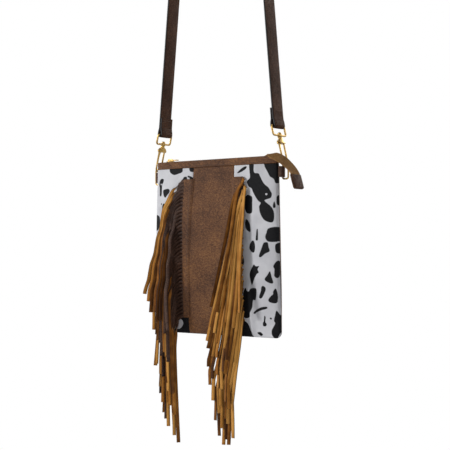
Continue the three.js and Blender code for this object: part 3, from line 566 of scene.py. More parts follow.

# %% Blots of the print and a field of painted shade, as closed outlines on the panels
RIGHT_BLOTS = [
    [(42.7, -21.8), (48.5, -16.8), (54.3, -13.5), (59.3, -13), (58.5, -16), (53.5, -19),
     (47.7, -21.3)],
    [(63.5, -5), (63.5, -13), (64.7, -21), (65.7, -29), (61.8, -32.7), (61, -36), (64.3, -41.3),
     (69.3, -44), (71.8, -48.5), (76.8, -56), (81.8, -61.8), (85.7, -64.7), (83.5, -69.3),
     (84.3, -76), (86.8, -81.8), (91, -87.7), (96.8, -90.7), (102.7, -91.7), (105.3, -89.3),
     (106, -82.7), (105.2, -76), (101.8, -70.2), (96.8, -66), (93.5, -63.5), (91.8, -61),
     (96, -59.7), (101, -57.7), (102.3, -52.7), (100.2, -48.5), (96.8, -43.5), (91, -39.3),
     (86.8, -34.3), (82.7, -27.7), (79.7, -23.5), (73.5, -22.7), (71.5, -18.5), (71, -5)],
    [(89, -5), (89.3, -13), (91, -16.8), (94.3, -21.8), (98.5, -28.5), (102.7, -31),
     (105.2, -33.5), (106.8, -37.7), (110, -37.7), (115, -30), (115, -5)],
    [(63.5, -52.7), (71, -56), (72, -66), (71.8, -77.7), (64.3, -78.5), (60.2, -72.7), (59.3, -61),
     (57.7, -58), (61, -54.3)],
    [(50, -39.5), (52.5, -40), (56.8, -50), (55, -52.5), (50, -48)],
    [(61, -87.7), (64.3, -87.3), (68.5, -93.5), (69.8, -102.7), (67.7, -104.3), (62.7, -101),
     (60.5, -94.3)],
    [(79.5, -101.5), (81.5, -101), (81.8, -114), (80.8, -116.3), (78, -115.3), (78.7, -108)],
    [(72, -116.5), (75.5, -117.5), (77, -124), (76.3, -131), (74, -133), (70, -131), (67.5, -127),
     (68, -122)],
    [(98.5, -99.5), (113, -99), (113, -116), (99, -118), (93.5, -112.7), (95, -106)],
    [(92, -119), (97, -119), (98.5, -125), (100, -131), (93, -134.5), (87, -139), (83.5, -138.5),
     (84.5, -134), (88, -126), (90, -121)],
    [(75.2, -149.2), (78.5, -151.7), (83.8, -151.3), (81.3, -155.8), (83.2, -160), (79.7, -162.5),
     (76, -168.3), (71.5, -177.5), (68.8, -170), (67.7, -162.5), (70.2, -155.8), (73, -151.7)],
    [(100.5, -158.3), (103, -166), (105.2, -174.2), (99.3, -174.2), (92.3, -169.7),
     (96.8, -163.3)],
    [(60, -181.7), (62.7, -185.8), (66, -186.3), (69.3, -182.5), (77.7, -182), (79, -188.3),
     (76.8, -198), (73, -198.3), (71, -208.3), (66.8, -215.8), (66, -221.7), (61, -223.7),
     (54.3, -222), (50.2, -216.7), (55, -208), (56, -190)],
    [(89.3, -178.3), (93.5, -180.8), (93.2, -185.8), (87.7, -195), (83.5, -195.3), (83.2, -192.5),
     (86, -185.8), (86.8, -180.8)],
    [(97.7, -197.5), (101.8, -192), (104.8, -189.7), (105.2, -185.8), (108.5, -181.7), (111, -190),
     (110, -201), (101, -201)],
    [(72.7, -215.8), (79.3, -210.8), (87.7, -207.5), (95.2, -207), (95.2, -209.5), (86, -212),
     (78.5, -215), (75.2, -217.2)],
    [(90.7, -219.2), (92.7, -221.7), (91.8, -227.5), (93.8, -230.8), (91.8, -233.7),
     (87.7, -233.3), (87.7, -229.2), (89.3, -226.7)],
    [(99, -222.5), (100.7, -221.3), (102.4, -222.8), (100.8, -224.4)],
    [(109.3, -211.7), (114, -220), (115, -233.3), (113, -243.3), (106, -251), (101, -246),
     (101, -239.2), (103.5, -235), (106.8, -229.2), (105.2, -225.8), (106.8, -219.2)],
    [(76.8, -243.3), (81.8, -242), (85.7, -245), (83.5, -247.5), (80.2, -246.7)],
    [(47.7, -227.5), (52.7, -226.3), (61, -230), (65.2, -236.7), (67.7, -246), (68, -253),
     (42, -253), (43, -236)],
    [(108.2, -146), (105.2, -151.7), (106.8, -155.8), (106.8, -165), (112, -166), (112, -145)],
    [(105.5, -63), (107, -66), (107.5, -71), (105, -72), (104, -69)],
    [(108.5, -121), (107.4, -126), (109, -133), (114, -133), (114, -120)],
    [(109.2, -55), (108.4, -62), (109.5, -68), (114, -68), (114, -54)],
    [(50, -84), (55, -90), (54, -104), (47, -108), (44, -96)],
    [(47, -130), (55, -134), (58, -147), (51, -156), (46, -145)],
    [(46, -172), (52, -176), (50, -187), (45, -190)],
]
RIGHT_HOLES = [
    [(92, -52.8), (94, -51.4), (96.1, -52.6), (94.3, -54.3)],
]
LEFT_BLOTS = [
    [(-82, -14), (-80, -8), (-60, -8), (-57, -15.3), (-63.7, -18), (-72, -19.7), (-77.8, -18)],
    [(-43.7, -14.5), (-38.7, -16.7), (-33, -15), (-33, -8), (-44, -8)],
    [(-47, -21.7), (-40.3, -23.3), (-34.5, -27.5), (-42, -27.5), (-43.7, -25), (-46.2, -24.2)],
    [(-50.3, -25), (-44.5, -28.7), (-48, -29.3), (-50.3, -28)],
    [(-100.3, -25), (-94, -25), (-94.5, -30), (-96.7, -33.3), (-97.3, -48.3), (-101.2, -49.2),
     (-102, -38.3), (-103.7, -31.7)],
    [(-92.8, -40.8), (-82.8, -39.7), (-80.3, -44.2), (-85.3, -49.2), (-89, -52.5), (-92.3, -49.2),
     (-94, -44.2)],
    [(-91.2, -60.8), (-87.3, -64.2), (-88.7, -70), (-91.7, -73.3), (-94.5, -68.3), (-94, -63.3)],
    [(-98, -61.5), (-96.6, -60.3), (-95.4, -61.8), (-96.8, -63)],
    [(-72, -222), (-58, -219), (-43, -224), (-43, -253), (-74, -253), (-70, -238)],
    [(-104, -78), (-99, -84), (-101, -96), (-107, -101), (-114, -96), (-114, -80)],
    [(-88, -96), (-80, -99), (-78, -110), (-84, -119), (-92, -113), (-93, -103)],
    [(-72, -70), (-64, -74), (-62, -86), (-68, -92), (-75, -84)],
    [(-104, -116), (-98, -122), (-96, -135), (-101, -143), (-108, -138), (-107, -125)],
    [(-84, -138), (-75, -141), (-70, -152), (-76, -163), (-85, -158), (-88, -147)],
    [(-103, -160), (-96, -163), (-94, -172), (-99, -178), (-105, -172)],
    [(-90, -180), (-80, -182), (-76, -192), (-82, -205), (-91, -200), (-95, -190)],
    [(-108, -190), (-103, -196), (-103, -210), (-108, -216), (-116, -212), (-116, -194)],
    [(-96, -218), (-88, -221), (-86, -233), (-92, -239), (-99, -231)],
    # The last blot is no print: a black field under the left fringe's roots, painted shade in the
    # gaps between the thongs.
    [(-48, -26), (-56, -26.5), (-61, -34), (-63, -60), (-66, -96), (-65, -140), (-67, -180),
     (-62, -219), (-48, -222), (-46, -130)],
]
LEFT_HOLES = [
    [(-67, -232), (-62, -229.5), (-57, -231), (-55.5, -236), (-59, -241), (-64, -244),
     (-69, -243)],
    [(-100.5, -32), (-98.8, -31.3), (-97.6, -32.6), (-99, -34)],
]

print("blots:", len(RIGHT_BLOTS), "right,", len(LEFT_BLOTS), "left")

# %% Distance to the blots
NEAR, FAR = 3.0, 9.0


def outline_distance(px, pz, corners):
    """Distance of each point from a closed outline, below zero inside it."""
    loop = rounded_outline(corners)
    ax, az = loop[:, 0][:, None], loop[:, 1][:, None]
    bx, bz = np.roll(loop[:, 0], -1)[:, None], np.roll(loop[:, 1], -1)[:, None]
    ex, ez = bx - ax, bz - az
    t = np.clip(((px - ax) * ex + (pz - az) * ez) / np.maximum(ex ** 2 + ez ** 2, 1e-9), 0, 1)
    gap = np.sqrt(((px - ax - t * ex) ** 2 + (pz - az - t * ez) ** 2).min(0))
    rises = (az > pz) != (bz > pz)
    at = ax + (pz - az) / np.where(np.abs(ez) < 1e-9, 1e-9, ez) * ex
    inner = (np.sum(rises & (px < at), 0) % 2).astype(bool)
    return np.where(inner, -gap, gap)


def near_distance(px, pz, corners):
    """Which points lie in or close round the outline's box, and their distance from it."""
    low, high = np.min(corners, 0) - NEAR, np.max(corners, 0) + NEAR
    near = (px > low[0]) & (px < high[0]) & (pz > low[1]) & (pz < high[1])
    return near, outline_distance(px[near], pz[near], corners)


def blot_field(x, z, blots, holes):
    """Least distance to any blot, with the pale islands cut out of it again."""
    px, pz = x.ravel(), z.ravel()
    field = np.full(px.shape, FAR)
    for corners in blots:
        near, gap = near_distance(px, pz, corners)
        field[near] = np.minimum(field[near], gap)
    for corners in holes:
        near, gap = near_distance(px, pz, corners)
        field[near] = np.maximum(field[near], -gap)
    return field


middle_of_blot = blot_field(np.array([76.0]), np.array([-55.0]), RIGHT_BLOTS, [])
print("inside a blot, mm from its edge:", middle_of_blot.round(1))

# %% [markdown]
# ### Panels
#
# Each panel is a table of points between its two sides, outside and inside, joined by a rim.
# Where two panels are sewn together the surface dips into the seam, and little puckers sit
# between the stitches.

# %% Panels as closed sheets
SEAM_DEEP, PUCKER, SEAM_REACH, PUCKER_PITCH = 0.7, 0.15, 1.5, 7.0
PANEL_TOP = -(BAND_H + CLEAR)


def seam_dip(x, z, seams):
    """A groove about 3 mm wide along each seam, deeper and shallower by turns in its puckers."""
    dip = 0.0
    for seam in seams:
        depth = SEAM_DEEP + PUCKER * np.sin(z * 2 * math.pi / PUCKER_PITCH)
        dip = dip + depth * np.exp(-((x - seam(z)) / SEAM_REACH) ** 2)
    return dip


def panel(left_at, right_at, facing, cols, rows, seams):
    """A panel's sheet. Its rows crowd towards the bottom edge, its columns to the sides."""
    r = np.linspace(0, 1, rows)[:, None]
    s = np.linspace(0, 1, cols)[None, :]
    s = lerp(s, (1 - np.cos(s * math.pi)) / 2, 0.5)
    z = lerp(PANEL_TOP, -HEIGHT, lerp(r, np.sin(r * math.pi / 2), 0.7)) + 0 * s
    x = lerp(left_at(z), right_at(z), s)
    base = CLEAR / 2 + swell(x, z)
    outer = base + rounding(x, z) + waves(x, z) - seam_dip(x, z, seams)
    inner = np.maximum(CLEAR / 2, np.minimum(base + waves(x, z), outer - 0.4 * rounding(x, z)))
    return *shell(*(np.stack([x, facing * depth, z], -1) for depth in (outer, inner))), x, z


def panel_piece(name, finish_of, slot_name, node, *shape, seams=(), blots=None):
    """A panel with its finish and, where it is printed, its distance from the blots."""
    points, quads, x, z = panel(*shape, seams)
    values = {} if blots is None else {"blot": np.tile(blot_field(x, z, *blots), 2)}
    return placed(put(name, points, quads, slots=[finish_of], values=values), "bag",
                  [node])


def left_rim(z):
    """The pouch's left side."""
    return -half_width(z)


def beside_middle(side, gap):
    """A line along the leather middle's left (-1) or right (1) edge, a gap outside it."""
    def line(z):
        return side * (centre_half(z) + gap)
    return line


left_seam, right_seam = beside_middle(-1, CLEAR / 2), beside_middle(1, CLEAR / 2)
left_inset, right_inset = beside_middle(-1, -CLEAR / 2), beside_middle(1, -CLEAR / 2)
left_panel = panel_piece("left_cow_panel", FABRIC, "spotted_fabric", "left_front_panel",
                         left_rim, left_seam, -1, 90, 290,
                         seams=[left_seam], blots=(LEFT_BLOTS, LEFT_HOLES))
right_panel = panel_piece("right_cow_panel", FABRIC, "spotted_fabric", "right_front_panel",
                          right_seam, half_width, -1, 90, 290,
                          seams=[right_seam], blots=(RIGHT_BLOTS, RIGHT_HOLES))
panel_piece("leather_middle", BROWN, "brown_leather", "centre_panel",
            left_inset, right_inset, -1, 60, 160, seams=[left_inset, right_inset])
panel_piece("leather_back", PLAIN, "brown_leather", "back_panel",
            left_rim, half_width, 1, 150, 160)

# %% [markdown]
# ### Band round the mouth
#
# The zipper is framed by a strip of leather on each face, turned over the rim and stitched
# close to its lower edge. It stands a little proud of the panels.

# %% Bands
BAND_WALL, BAND_EDGE, BAND_DROP, HEM, STITCH_SINK = 2.1, 1.0, 0.9, 2.2, 0.25


def band(facing):
    """Like a panel, but its upper and lower edges are rounded over 1 mm."""
    r = np.linspace(0, 1, 26)[:, None]
    r = lerp(r, (1 - np.cos(r * math.pi)) / 2, 0.8)
    s = (1 - np.cos(np.linspace(0, 1, 140) * math.pi))[None, :] / 2
    z = lerp(0, -BAND_H, r) + 0 * s
    x = lerp(-half_width(z), half_width(z), s)
    edge = np.clip(np.minimum(-z, BAND_H + z) / BAND_EDGE, 0, 1)
    side = np.clip((half_width(z) - np.abs(x)) / EDGE_R, 0, 1)
    wall = (BAND_WALL * np.sqrt(1 - (1 - side) ** 2)
            - BAND_DROP * (1 - np.sqrt(1 - (1 - edge) ** 2)) * side)
    base = CLEAR / 2 + swell(x, z)
    stitched = STITCH_SINK * np.exp(-((z + BAND_H - HEM) / 0.7) ** 2)
    outer = base + wall - stitched * side
    inner = np.maximum(CLEAR / 2, np.minimum(base, base + wall - 0.2))
    return shell(*(np.stack([x, facing * depth, z], -1) for depth in (outer, inner)))


for name, facing, node in (("mouth_band_front", -1, "front_top_band"),
                           ("mouth_band_back", 1, "back_top_band")):
    placed(put(name, *band(facing), slots=[BROWN]), "bag", [node])

# %% [markdown]
# ## The fringes
#
# Each fringe is one strip of leather, sewn down along the middle panel and cut from its free
# edge into 37 thongs. The thongs cut highest hang outermost, so they lie in layers. The left
# ones leave level, droop, turn quickly and then slant outwards as they hang. They start with
# the brown grain out, and most of them roll half round to the suede on the way down. The right
# ones fold over slantwise as they leave the strip, which turns their suede side out, and lean
# to the left over one another.

# %% Layers of thongs
LEATHER, ROOT_X, FRINGE_TOP, PITCH = 1.4, 52.0, 27.0, 5.4
THONG_L, THONG_W, THONG_T, COLUMN_PITCH, LAYER_PITCH, AIR = 190.0, 5.3, 1.1, 5.3, 4.4, 1.744
THONG_SECTION = np.array([[1, 0.3], [0.9, 1], [-0.9, 1], [-1, 0.3],
                          [-1, -0.3], [-0.9, -1], [0.9, -1], [1, -0.3]])
LAYERS = [(9, 50), (8, 50), (7, 44), (7, 38), (6, 34)]
counts, first_reach = zip(*LAYERS)
level = np.repeat(np.arange(len(LAYERS)), counts)
place_in_layer = np.concatenate([np.arange(count) for count in counts])
reach = np.repeat(first_reach, counts) - place_in_layer * COLUMN_PITCH
LAST = len(level) - 1
root_z = -FRINGE_TOP - (np.arange(len(level)) + 0.5) * PITCH
layer_start = root_z[place_in_layer == 0]
FIRST_LAYER = face_depth(0.0, -HEIGHT / 2) + CLEAR + LEATHER + CLEAR + AIR
draw = np.random.default_rng(11)


def layer_depth(which, z):
    """Depth of the rearmost layer, plus one pitch for each layer behind that has begun above z."""
    depth = FIRST_LAYER + 0 * z
    for behind in range(which + 1, len(LAYERS)):
        near = layer_start[behind] + PITCH
        depth = depth + LAYER_PITCH * smooth((near + 4 * PITCH - z) / (4 * PITCH))
    return depth


def thong_sections(path, roll, width, across=None):
    """Flat eight-cornered section at each station, rolled about the direction of the run.

    Where no other direction is given, its width lies at right angles to the run and to Y."""
    along = unit(np.gradient(path, axis=0))
    if across is None:
        across = -np.cross(along, [0.0, 1.0, 0.0])
    across = unit(across - along * np.sum(across * along, 1)[:, None])
    thick = np.cross(along, across)
    wide = across * np.cos(roll)[:, None] + thick * np.sin(roll)[:, None]
    thin = np.cross(along, wide)
    half_wide, half_thin = THONG_SECTION[:, 0] * width / 2, THONG_SECTION[:, 1] * THONG_T / 2
    return (path[:, None, :] + wide[:, None, :] * half_wide[None, :, None]
            + thin[:, None, :] * half_thin[None, :, None])


print("thongs on each side:", len(level))

# %% Thongs of the left fringe
GRAIN_OUT = (4, 7, 8, 12, 13, 16, 20, 25, 32)
ROLL_FROM = {0: 3, 1: 5, 2: 16, 3: 34}
STATIONS = 56


def hanging_path(x, top, i, length, from_depth, wander, lean):
    """A quick turn from level to hanging, then a slant outwards, with a slow sideways wander.

    Four tenths of the reach are spent in the turn, which fades over 9 mm of fall, and the rest
    evenly over 175 mm. The lower a thong is cut, the further its tip comes back, up to 8 mm."""
    out = (reach[i] * lerp(1, 0.86, smooth(i / 6)) - 6 * smooth((i - 2) / 6)
           + 7 * smooth((i - 9) / 8) * (reach[i] / 50))
    fall = np.linspace(0, 1, 200) ** 2 * length
    spent = 0.42 * (1 - np.exp(-fall / 9)) + 0.58 * fall / 175
    px = x - out * spent + 8 * smooth(i / 12) * (fall / THONG_L) ** 1.5
    pz = top - fall
    py = -lerp(from_depth, layer_depth(level[i], pz), smooth(fall / 45))
    at = np.linspace(0, length, STATIONS)
    path = points_at(np.stack([px, py, pz], -1), at)
    t = at / length
    path[:, 0] += wander * np.sin(t * 5 + i) * t ** 1.5 + lean * t ** 2
    path[:, 1] += 0.5 * wander * np.sin(t * 6 + 2.3 * i) * t ** 1.5
    return path, at


def left_thong(i):
    """Level and drooping at its root, grain side out. Most roll half round on the way down."""
    depth = face_depth(ROOT_X, root_z[i]) + CLEAR + LEATHER / 2
    length = THONG_L + draw.uniform(-9, 5)
    out = draw.uniform(11, 15) * lerp(0.25, 1, smooth(i / 5))
    droop = 0.5 * out
    path, at = hanging_path(-ROOT_X - out, root_z[i] - droop, i, length - out - 1, depth,
                            draw.uniform(0.6, 2.4), draw.uniform(-2.5, 2.5))
    level_x = np.linspace(-ROOT_X + 1, -ROOT_X - out, 9)[:-1]
    root_curve = root_z[i] - droop * ((1 - ROOT_X - level_x) / (out + 1)) ** 2
    path = np.concatenate([np.stack([level_x, path[0, 1] + 0 * level_x, root_curve], -1), path])
    at = np.concatenate([-ROOT_X + 1 - level_x, at + out + 1])
    slat = -math.radians(draw.uniform(15, 60)) * smooth(at / 6)
    start = ROLL_FROM.get(i, draw.uniform(25, 95) * (1 - 0.5 * i / LAST))
    flip = math.pi * smooth((at - start) / 30) * (i not in GRAIN_OUT)
    sway = (draw.uniform(-0.5, 0.5) * smooth((at - 25) / 60)
            + 0.25 * np.sin(at / draw.uniform(25, 45) + i) * smooth(at / 60))
    return path, slat + flip + sway, None


print("left thongs that stay grain side out:", len(GRAIN_OUT))

# %% Thongs of the right fringe
FOLD_R, STACK, GOLDEN, MOST_SHIFT = 2.2, 0.42, 0.618034, 13.0
lane = (np.arange(len(level)) * GOLDEN) % 1.0
lane[:6] = [0.72, 1.0, 0.0, 0.45, 0.12, 0.86]
level_run, up = np.array([1.0, 0, 0]), np.array([0, 0, 1.0])


def right_thong(i):
    """Runs out level, then folds over slantwise to hang, so that its suede side comes out.

    The fold is half a turn about the line midway between level and the hanging direction:
    it carries the run from level to hanging and turns the two faces over. Below it the thong
    leans to the left by its lane, most at first, and lies in front of all thongs cut lower."""
    depth = float(face_depth(ROOT_X, root_z[i])) + CLEAR + LEATHER / 2
    shift = MOST_SHIFT * lane[i]
    sweep = lerp(36.0, 10.0, i / LAST) * lane[i] + 17.0 * smooth((i / LAST - 0.05) / 0.3)
    slant = math.atan((shift / 4 + sweep) / THONG_L)
    level_end = ROOT_X + 0.5 + lerp(5.5, 2.0, smooth(i / 8)) * (1 - lane[i])
    level_x = np.linspace(ROOT_X - 1, level_end, 5)
    start = np.stack([level_x, -depth + 0 * level_x, root_z[i] + 0 * level_x], -1)
    axis = unit(level_run + np.array([-math.sin(slant), 0, -math.cos(slant)]))
    angle = np.linspace(0, math.pi, 14)
    along = turned_about(axis, angle, level_run)
    step = FOLD_R * angle[1]
    bend = start[-1] + np.cumsum((along[1:] + along[:-1]) / 2 * step, 0)
    used = (level_x[-1] - level_x[0]) + FOLD_R * math.pi
    length = THONG_L - used + draw.uniform(-9, 5)
    at = np.linspace(0, length, STATIONS - 2)[1:]
    fall = at * math.cos(slant)
    z = bend[-1, 2] - fall
    x = (bend[-1, 0] - shift * (1 - np.exp(-fall / 14))
         - sweep * np.minimum(1, fall / lerp(200, 120, i / LAST)) ** 1.4
         + draw.uniform(0.6, 2.2) * np.sin(fall / 33 + i) * smooth(fall / 90))
    behind = np.clip((root_z[i] - z) / PITCH, 0, LAST - i)
    rest_depth = np.maximum(-bend[-1, 1], FIRST_LAYER - 1.0) + STACK * behind
    y = -lerp(-bend[-1, 1], rest_depth, smooth(fall / 14))
    path = np.concatenate([start, bend, np.stack([x, y, z], -1)])
    turned = len(start) + len(bend)
    across = np.zeros_like(path)
    across[:len(start)] = up
    across[len(start):turned] = turned_about(axis, angle, up)[1:]
    across[turned:] = -level_run
    roll = np.zeros(len(path))
    roll[turned:] = (draw.uniform(-1.05, 0.25) * smooth(at / 40)
                     + 0.2 * np.sin(at / draw.uniform(25, 45) + i) * smooth(at / 60))
    return path, roll, across


print("right thongs' lanes:", lane[:4].round(2), "and so on")

# %% Both fringes: header and thongs in one piece each
HEADER_IN, TAPER, HEADER_SUNK = 3.5, 4.0, 0.25


def header(side):
    """The uncut strip: it follows the pouch's face from the seam to where the cuts begin."""
    r = np.linspace(0, 1, 80)[:, None]
    s = np.linspace(0, 1, 16)[None, :]
    z = -FRINGE_TOP - r * len(level) * PITCH + 0 * s
    x = side * lerp(centre_half(z) - HEADER_IN, ROOT_X, s)
    edge = np.clip((np.abs(x) - centre_half(z) + HEADER_IN) / TAPER, 0, 1)
    base = face_depth(x, z) + lerp(-HEADER_SUNK, CLEAR, edge)
    thick = LEATHER * lerp(0.25, 1, smooth(edge))
    return *shell(*(np.stack([x, -depth, z], -1) for depth in (base + thick, base))), []


def fringe(name, side, route, grain_faces):
    """The header and each thong as a tube of flat sections, with a shade of its own.

    Faces of kind 0 are grain, 1 suede and 2 header. The UV map has the run in metres, moved on
    by 1 for each thong, and the place across it."""
    corners = len(THONG_SECTION)
    parts = [header(side)]
    points, quads, _ = parts[0]
    kinds, shades, uvs = [np.full(len(quads), 2)], [np.full(len(points), 0.5)], []
    uvs.append(np.zeros((len(points), 2)))
    for i in range(len(level)):
        path, roll, across = route(i)
        width = THONG_W * draw.uniform(0.94, 1.04)
        parts.append(tube(thong_sections(path, roll, width, across)))
        run = run_of(path)
        on_grain = np.isin(np.tile(np.arange(corners), len(path) - 1), grain_faces)
        kinds.append(np.where(on_grain, 0, 1))
        paler = 0.12 if side > 0 else 0.26 + 0.2 * smooth(i / 18)
        # A tone for each thong, darker down its run: that darkening is painted shade.
        tone_with_painted_shade = draw.uniform(-0.15, 1.15) + paler - 0.25 * smooth(run / THONG_L)
        shades.append(np.repeat(tone_with_painted_shade, corners))
        uvs.append(np.stack([np.repeat(run / 1000, corners) + i,
                             np.tile(THONG_SECTION[:, 0] * width / 2000, len(path))], -1))
    points, quads, ends = gathered(parts)
    kinds = np.concatenate(kinds + [np.ones(len(ends), int)])
    piece = put(name, points, quads, ends, slots=[GRAIN, SUEDE, BROWN], face_slots=kinds,
                values={"shade": np.concatenate(shades)}, uv=np.concatenate(uvs))
    placed(piece, "bag", [name.replace("thongs", "fringe")])


fringe("left_thongs", -1, left_thong, (3, 4, 5, 6, 7))
fringe("right_thongs", 1, right_thong, (0, 1, 2, 3, 7))

# %% [markdown]
# ## Strips, wires and slabs
#
# The strap and the side tabs are flat strips folded round a bar, the rings are round wire, and
# the hook's block, its gate and the leather end are slabs cut to an outline. Three small
# helpers make them all: a section carried along a flat path, a circle carried along one, and
# an outline given a thickness with its edges taken off.

# %% Sections along a path
def directions(path, closed=False):
    """Unit direction of the path at each point, from its two neighbours."""
    return unit(np.roll(path, -1, 0) - np.roll(path, 1, 0) if closed
                else np.gradient(path, axis=0))


def swept(path, section, normal, closed=False):
    """Section points (a, b) put at a along `side` and b along `normal`, at each path point."""
    side = unit(np.cross(normal, directions(path, closed)))
    normal = np.asarray(normal, float)
    return (path[:, None, :] + side[:, None, :] * section[None, :, :1]
            + normal[None, None, :] * section[None, :, 1:])


def wire(path, radius, normal, closed=False, sides=18):
    """Round wire along a flat path whose plane has the given normal."""
    ring = arc(0, 0, radius, 0, 360, sides)[:-1]
    return tube(swept(path, ring, normal, closed), closed)


def strip_section(thick, width, crown=0.25, edge=0.7):
    """Flat band: its two faces swell by `crown`, its four corners are rounded by `edge`."""
    t, w, cut = thick / 2, width / 2, 0.3 * edge
    across = np.linspace(-1, 1, 9)
    face = np.stack([t + crown * (1 - across ** 2) - crown, across * (w - edge)], -1)
    right = np.array([[t - cut - crown, w - cut], [0.35 * t, w],
                      [-0.35 * t, w], [-t + cut + crown, w - cut]])
    return np.concatenate([face, right, -face, -right])


print("points of a strap section:", len(strip_section(2.8, 24.5)))

# %% Slabs, turned profiles and stitches
STITCH_PITCH, STITCH_L, THREAD_R = 3.2, 2.3, 0.36


def slab(outline, thick, bevel=0.3):
    """An outline (a, b) as a plate: its border steps in by the bevel at both faces."""
    o = np.asarray(outline, float)
    flow = unit(np.roll(o, -1, 0) - o) + unit(o - np.roll(o, 1, 0))
    area = np.sum(o[:, 0] * np.roll(o[:, 1], -1) - np.roll(o[:, 0], -1) * o[:, 1])
    out = np.stack([flow[:, 1], -flow[:, 0]], -1) * np.sign(area)
    out /= np.maximum(np.linalg.norm(out, axis=1), 1e-9)[:, None]
    rings = [(-1, 1.0, 0.0), (-1, 0.3, 0.3), (-1, 0.0, 1.0),
             (1, 0.0, 1.0), (1, 0.3, 0.3), (1, 1.0, 0.0)]
    return tube(np.stack([np.column_stack([o - out * bevel * inset,
                                           np.full(len(o), side * (thick / 2 - bevel * low))])
                          for side, inset, low in rings]))


def turned_profile(profile, sides=28):
    """A profile (radius, height) turned round Z, and closed where it ends on that axis."""
    p = np.asarray(profile, float)
    angle = np.linspace(0, 2 * math.pi, sides, endpoint=False)
    sections = np.stack([np.outer(p[:, 0], np.cos(angle)), np.outer(p[:, 0], np.sin(angle)),
                         np.repeat(p[:, 1:], sides, 1)], -1)
    return tube(sections)


def stitch_row(path, out):
    """Thread ends along the path as small capsules of five rings, sunk into the face."""
    p = evened(path, STITCH_PITCH)
    centre = (p[1:] + p[:-1]) / 2
    along = unit(p[1:] - p[:-1])
    outward = np.broadcast_to(np.asarray(out, float), centre.shape)
    side = np.cross(along, outward)
    t = np.array([-1, -0.75, 0, 0.75, 1])
    wide = THREAD_R * np.array([0.35, 0.85, 1, 0.85, 0.35])
    rise = THREAD_R * 0.3 - 0.25 * THREAD_R * t ** 2
    angle = np.linspace(0, 2 * math.pi, 6, endpoint=False)
    forward = (t * STITCH_L / 2)[None, :, None, None]
    rising = (rise[:, None] + wide[:, None] * np.sin(angle))[None, ..., None]
    sideways = (wide[:, None] * np.cos(angle))[None, ..., None]
    points = (centre[:, None, None] + along[:, None, None] * forward
              + outward[:, None, None] * rising + side[:, None, None] * sideways)
    rings, sides = len(t), len(angle)
    first = np.arange(len(centre)) * rings * sides
    quads = table_quads(rings, sides, wrap_cols=True)[None] + first[:, None, None]
    ends = [end for k in first.tolist() for end in
            ([k + i for i in reversed(range(sides))],
             [k + (rings - 1) * sides + i for i in range(sides)])]
    return points.reshape(-1, 3), quads.reshape(-1, 4), ends


def made(name, parts, finish_of, body, slot_name, nodes=(), sharp=40, **more):
    """One part, or several as one piece, with edges sharper than `sharp` kept crisp."""
    points, quads, ends = gathered(parts) if isinstance(parts, list) else parts
    slots = finish_of if isinstance(finish_of, list) else [finish_of]
    piece = put(name, points, quads, ends, slots=slots, **more)
    piece.data.set_sharp_from_angle(angle=math.radians(sharp))
    return placed(piece, body, nodes)


def solid(name, parts, cuts, body, node, sharp):
    """Closed metal parts united into one solid, and the cuts taken out of it, by booleans."""
    base = put(name + "_base", *parts[0])
    steps = [(part, "UNION") for part in parts[1:]] + [(cut, "DIFFERENCE") for cut in cuts]
    for k, (part, how) in enumerate(steps):
        tool = put(f"{name}_tool_{k}", *part)
        step = base.modifiers.new("step", "BOOLEAN")
        step.operation, step.solver, step.object = how, "EXACT", tool
        graph = bpy.context.evaluated_depsgraph_get()
        result = bpy.data.meshes.new_from_object(base.evaluated_get(graph))
        base.modifiers.clear()
        base.data = result
        bpy.data.objects.remove(tool)
    base.name = base.data.name = name
    base.data.materials.clear()
    base.data.materials.append(GOLD)
    base.data.polygons.foreach_set("use_smooth", np.ones(len(base.data.polygons), bool))
    base.data.set_sharp_from_angle(angle=math.radians(sharp))
    placed(base, body, [node])


print("strips, wires, slabs and stitches ready")

# %% [markdown]
# ## The strap
#
# One long band of dark leather, its cut edges painted black. At each foot it goes down
# outside the bar of the hook's loop, round it, and back up the inner side, where it is sewn
# down. Its middle line is a flat path, and the band's section is carried along it.

# %% Strap path and band
STRAP_W, STRAP_T, ARCH_R, FOLD_L = 24.5, 2.8, 58.0, 24.0
LOOP_H, LOOP_WIRE, LEAN = 14.5, 1.4, 14.0
EDGE_POINTS = [8, 9, 10, 11, 12, 21, 22, 23, 24, 25]
joints = {joint["name"]: joint for joint in frame["joints"]}
hook_at = np.array(joints["right_hook_swivel"]["pos_m"]) * 1000 - POUCH
lean = math.radians(LEAN)
foot = hook_at + LOOP_H * np.array([-math.sin(lean), 0, math.cos(lean)])
arch_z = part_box("strap")[1].z * 1000 - POUCH[2] - STRAP_T - ARCH_R
span = math.hypot(arch_z - foot[2], foot[0])
strap_lean = math.asin(foot[0] / span) - math.asin(ARCH_R / span)


def at_foot(across, up):
    """Right foot: `across` is away from the bag's middle, `up` runs along the leaning leg."""
    return np.stack([foot[0] + across * math.cos(strap_lean) - up * math.sin(strap_lean),
                     foot[1] + 0 * across,
                     foot[2] + across * math.sin(strap_lean) + up * math.cos(strap_lean)], -1)


half = STRAP_T / 2
fold = curved([(half, 16), (half + 0.2, 9), (2.7, 4),
               *arc(0, 0, LOOP_WIRE + CLEAR + half, 0, -180, 16),
               (-2.7, 4), (-half - 0.2, 9), (-half, 16), (-half, FOLD_L)], 4)
right_foot = at_foot(fold[:, 0], fold[:, 1])
lean_degrees = math.degrees(strap_lean)
arch = arc(0, arch_z, ARCH_R + half, 180 - lean_degrees, lean_degrees, 60)
arch = np.stack([arch[:, 0], foot[1] + 0 * arch[:, 0], arch[:, 1]], -1)
leg = lerp(arch[-1], right_foot[0], np.linspace(0, 1, 40)[1:-1, None])
right_side = np.concatenate([leg, right_foot])
route = np.concatenate([(right_side * [-1, 1, 1])[::-1], arch, right_side])
section = strip_section(STRAP_T, STRAP_W)
painted = np.isin(np.arange(len(section)), EDGE_POINTS)
kinds = np.concatenate([np.tile(painted, len(route) - 1).astype(int), [1, 1]])
made("strap_band", tube(swept(route, section, (0, 1, 0))), [STRAP, EDGE], "bag",
     "strap_leather", ["strap"], sharp=60, face_slots=kinds)
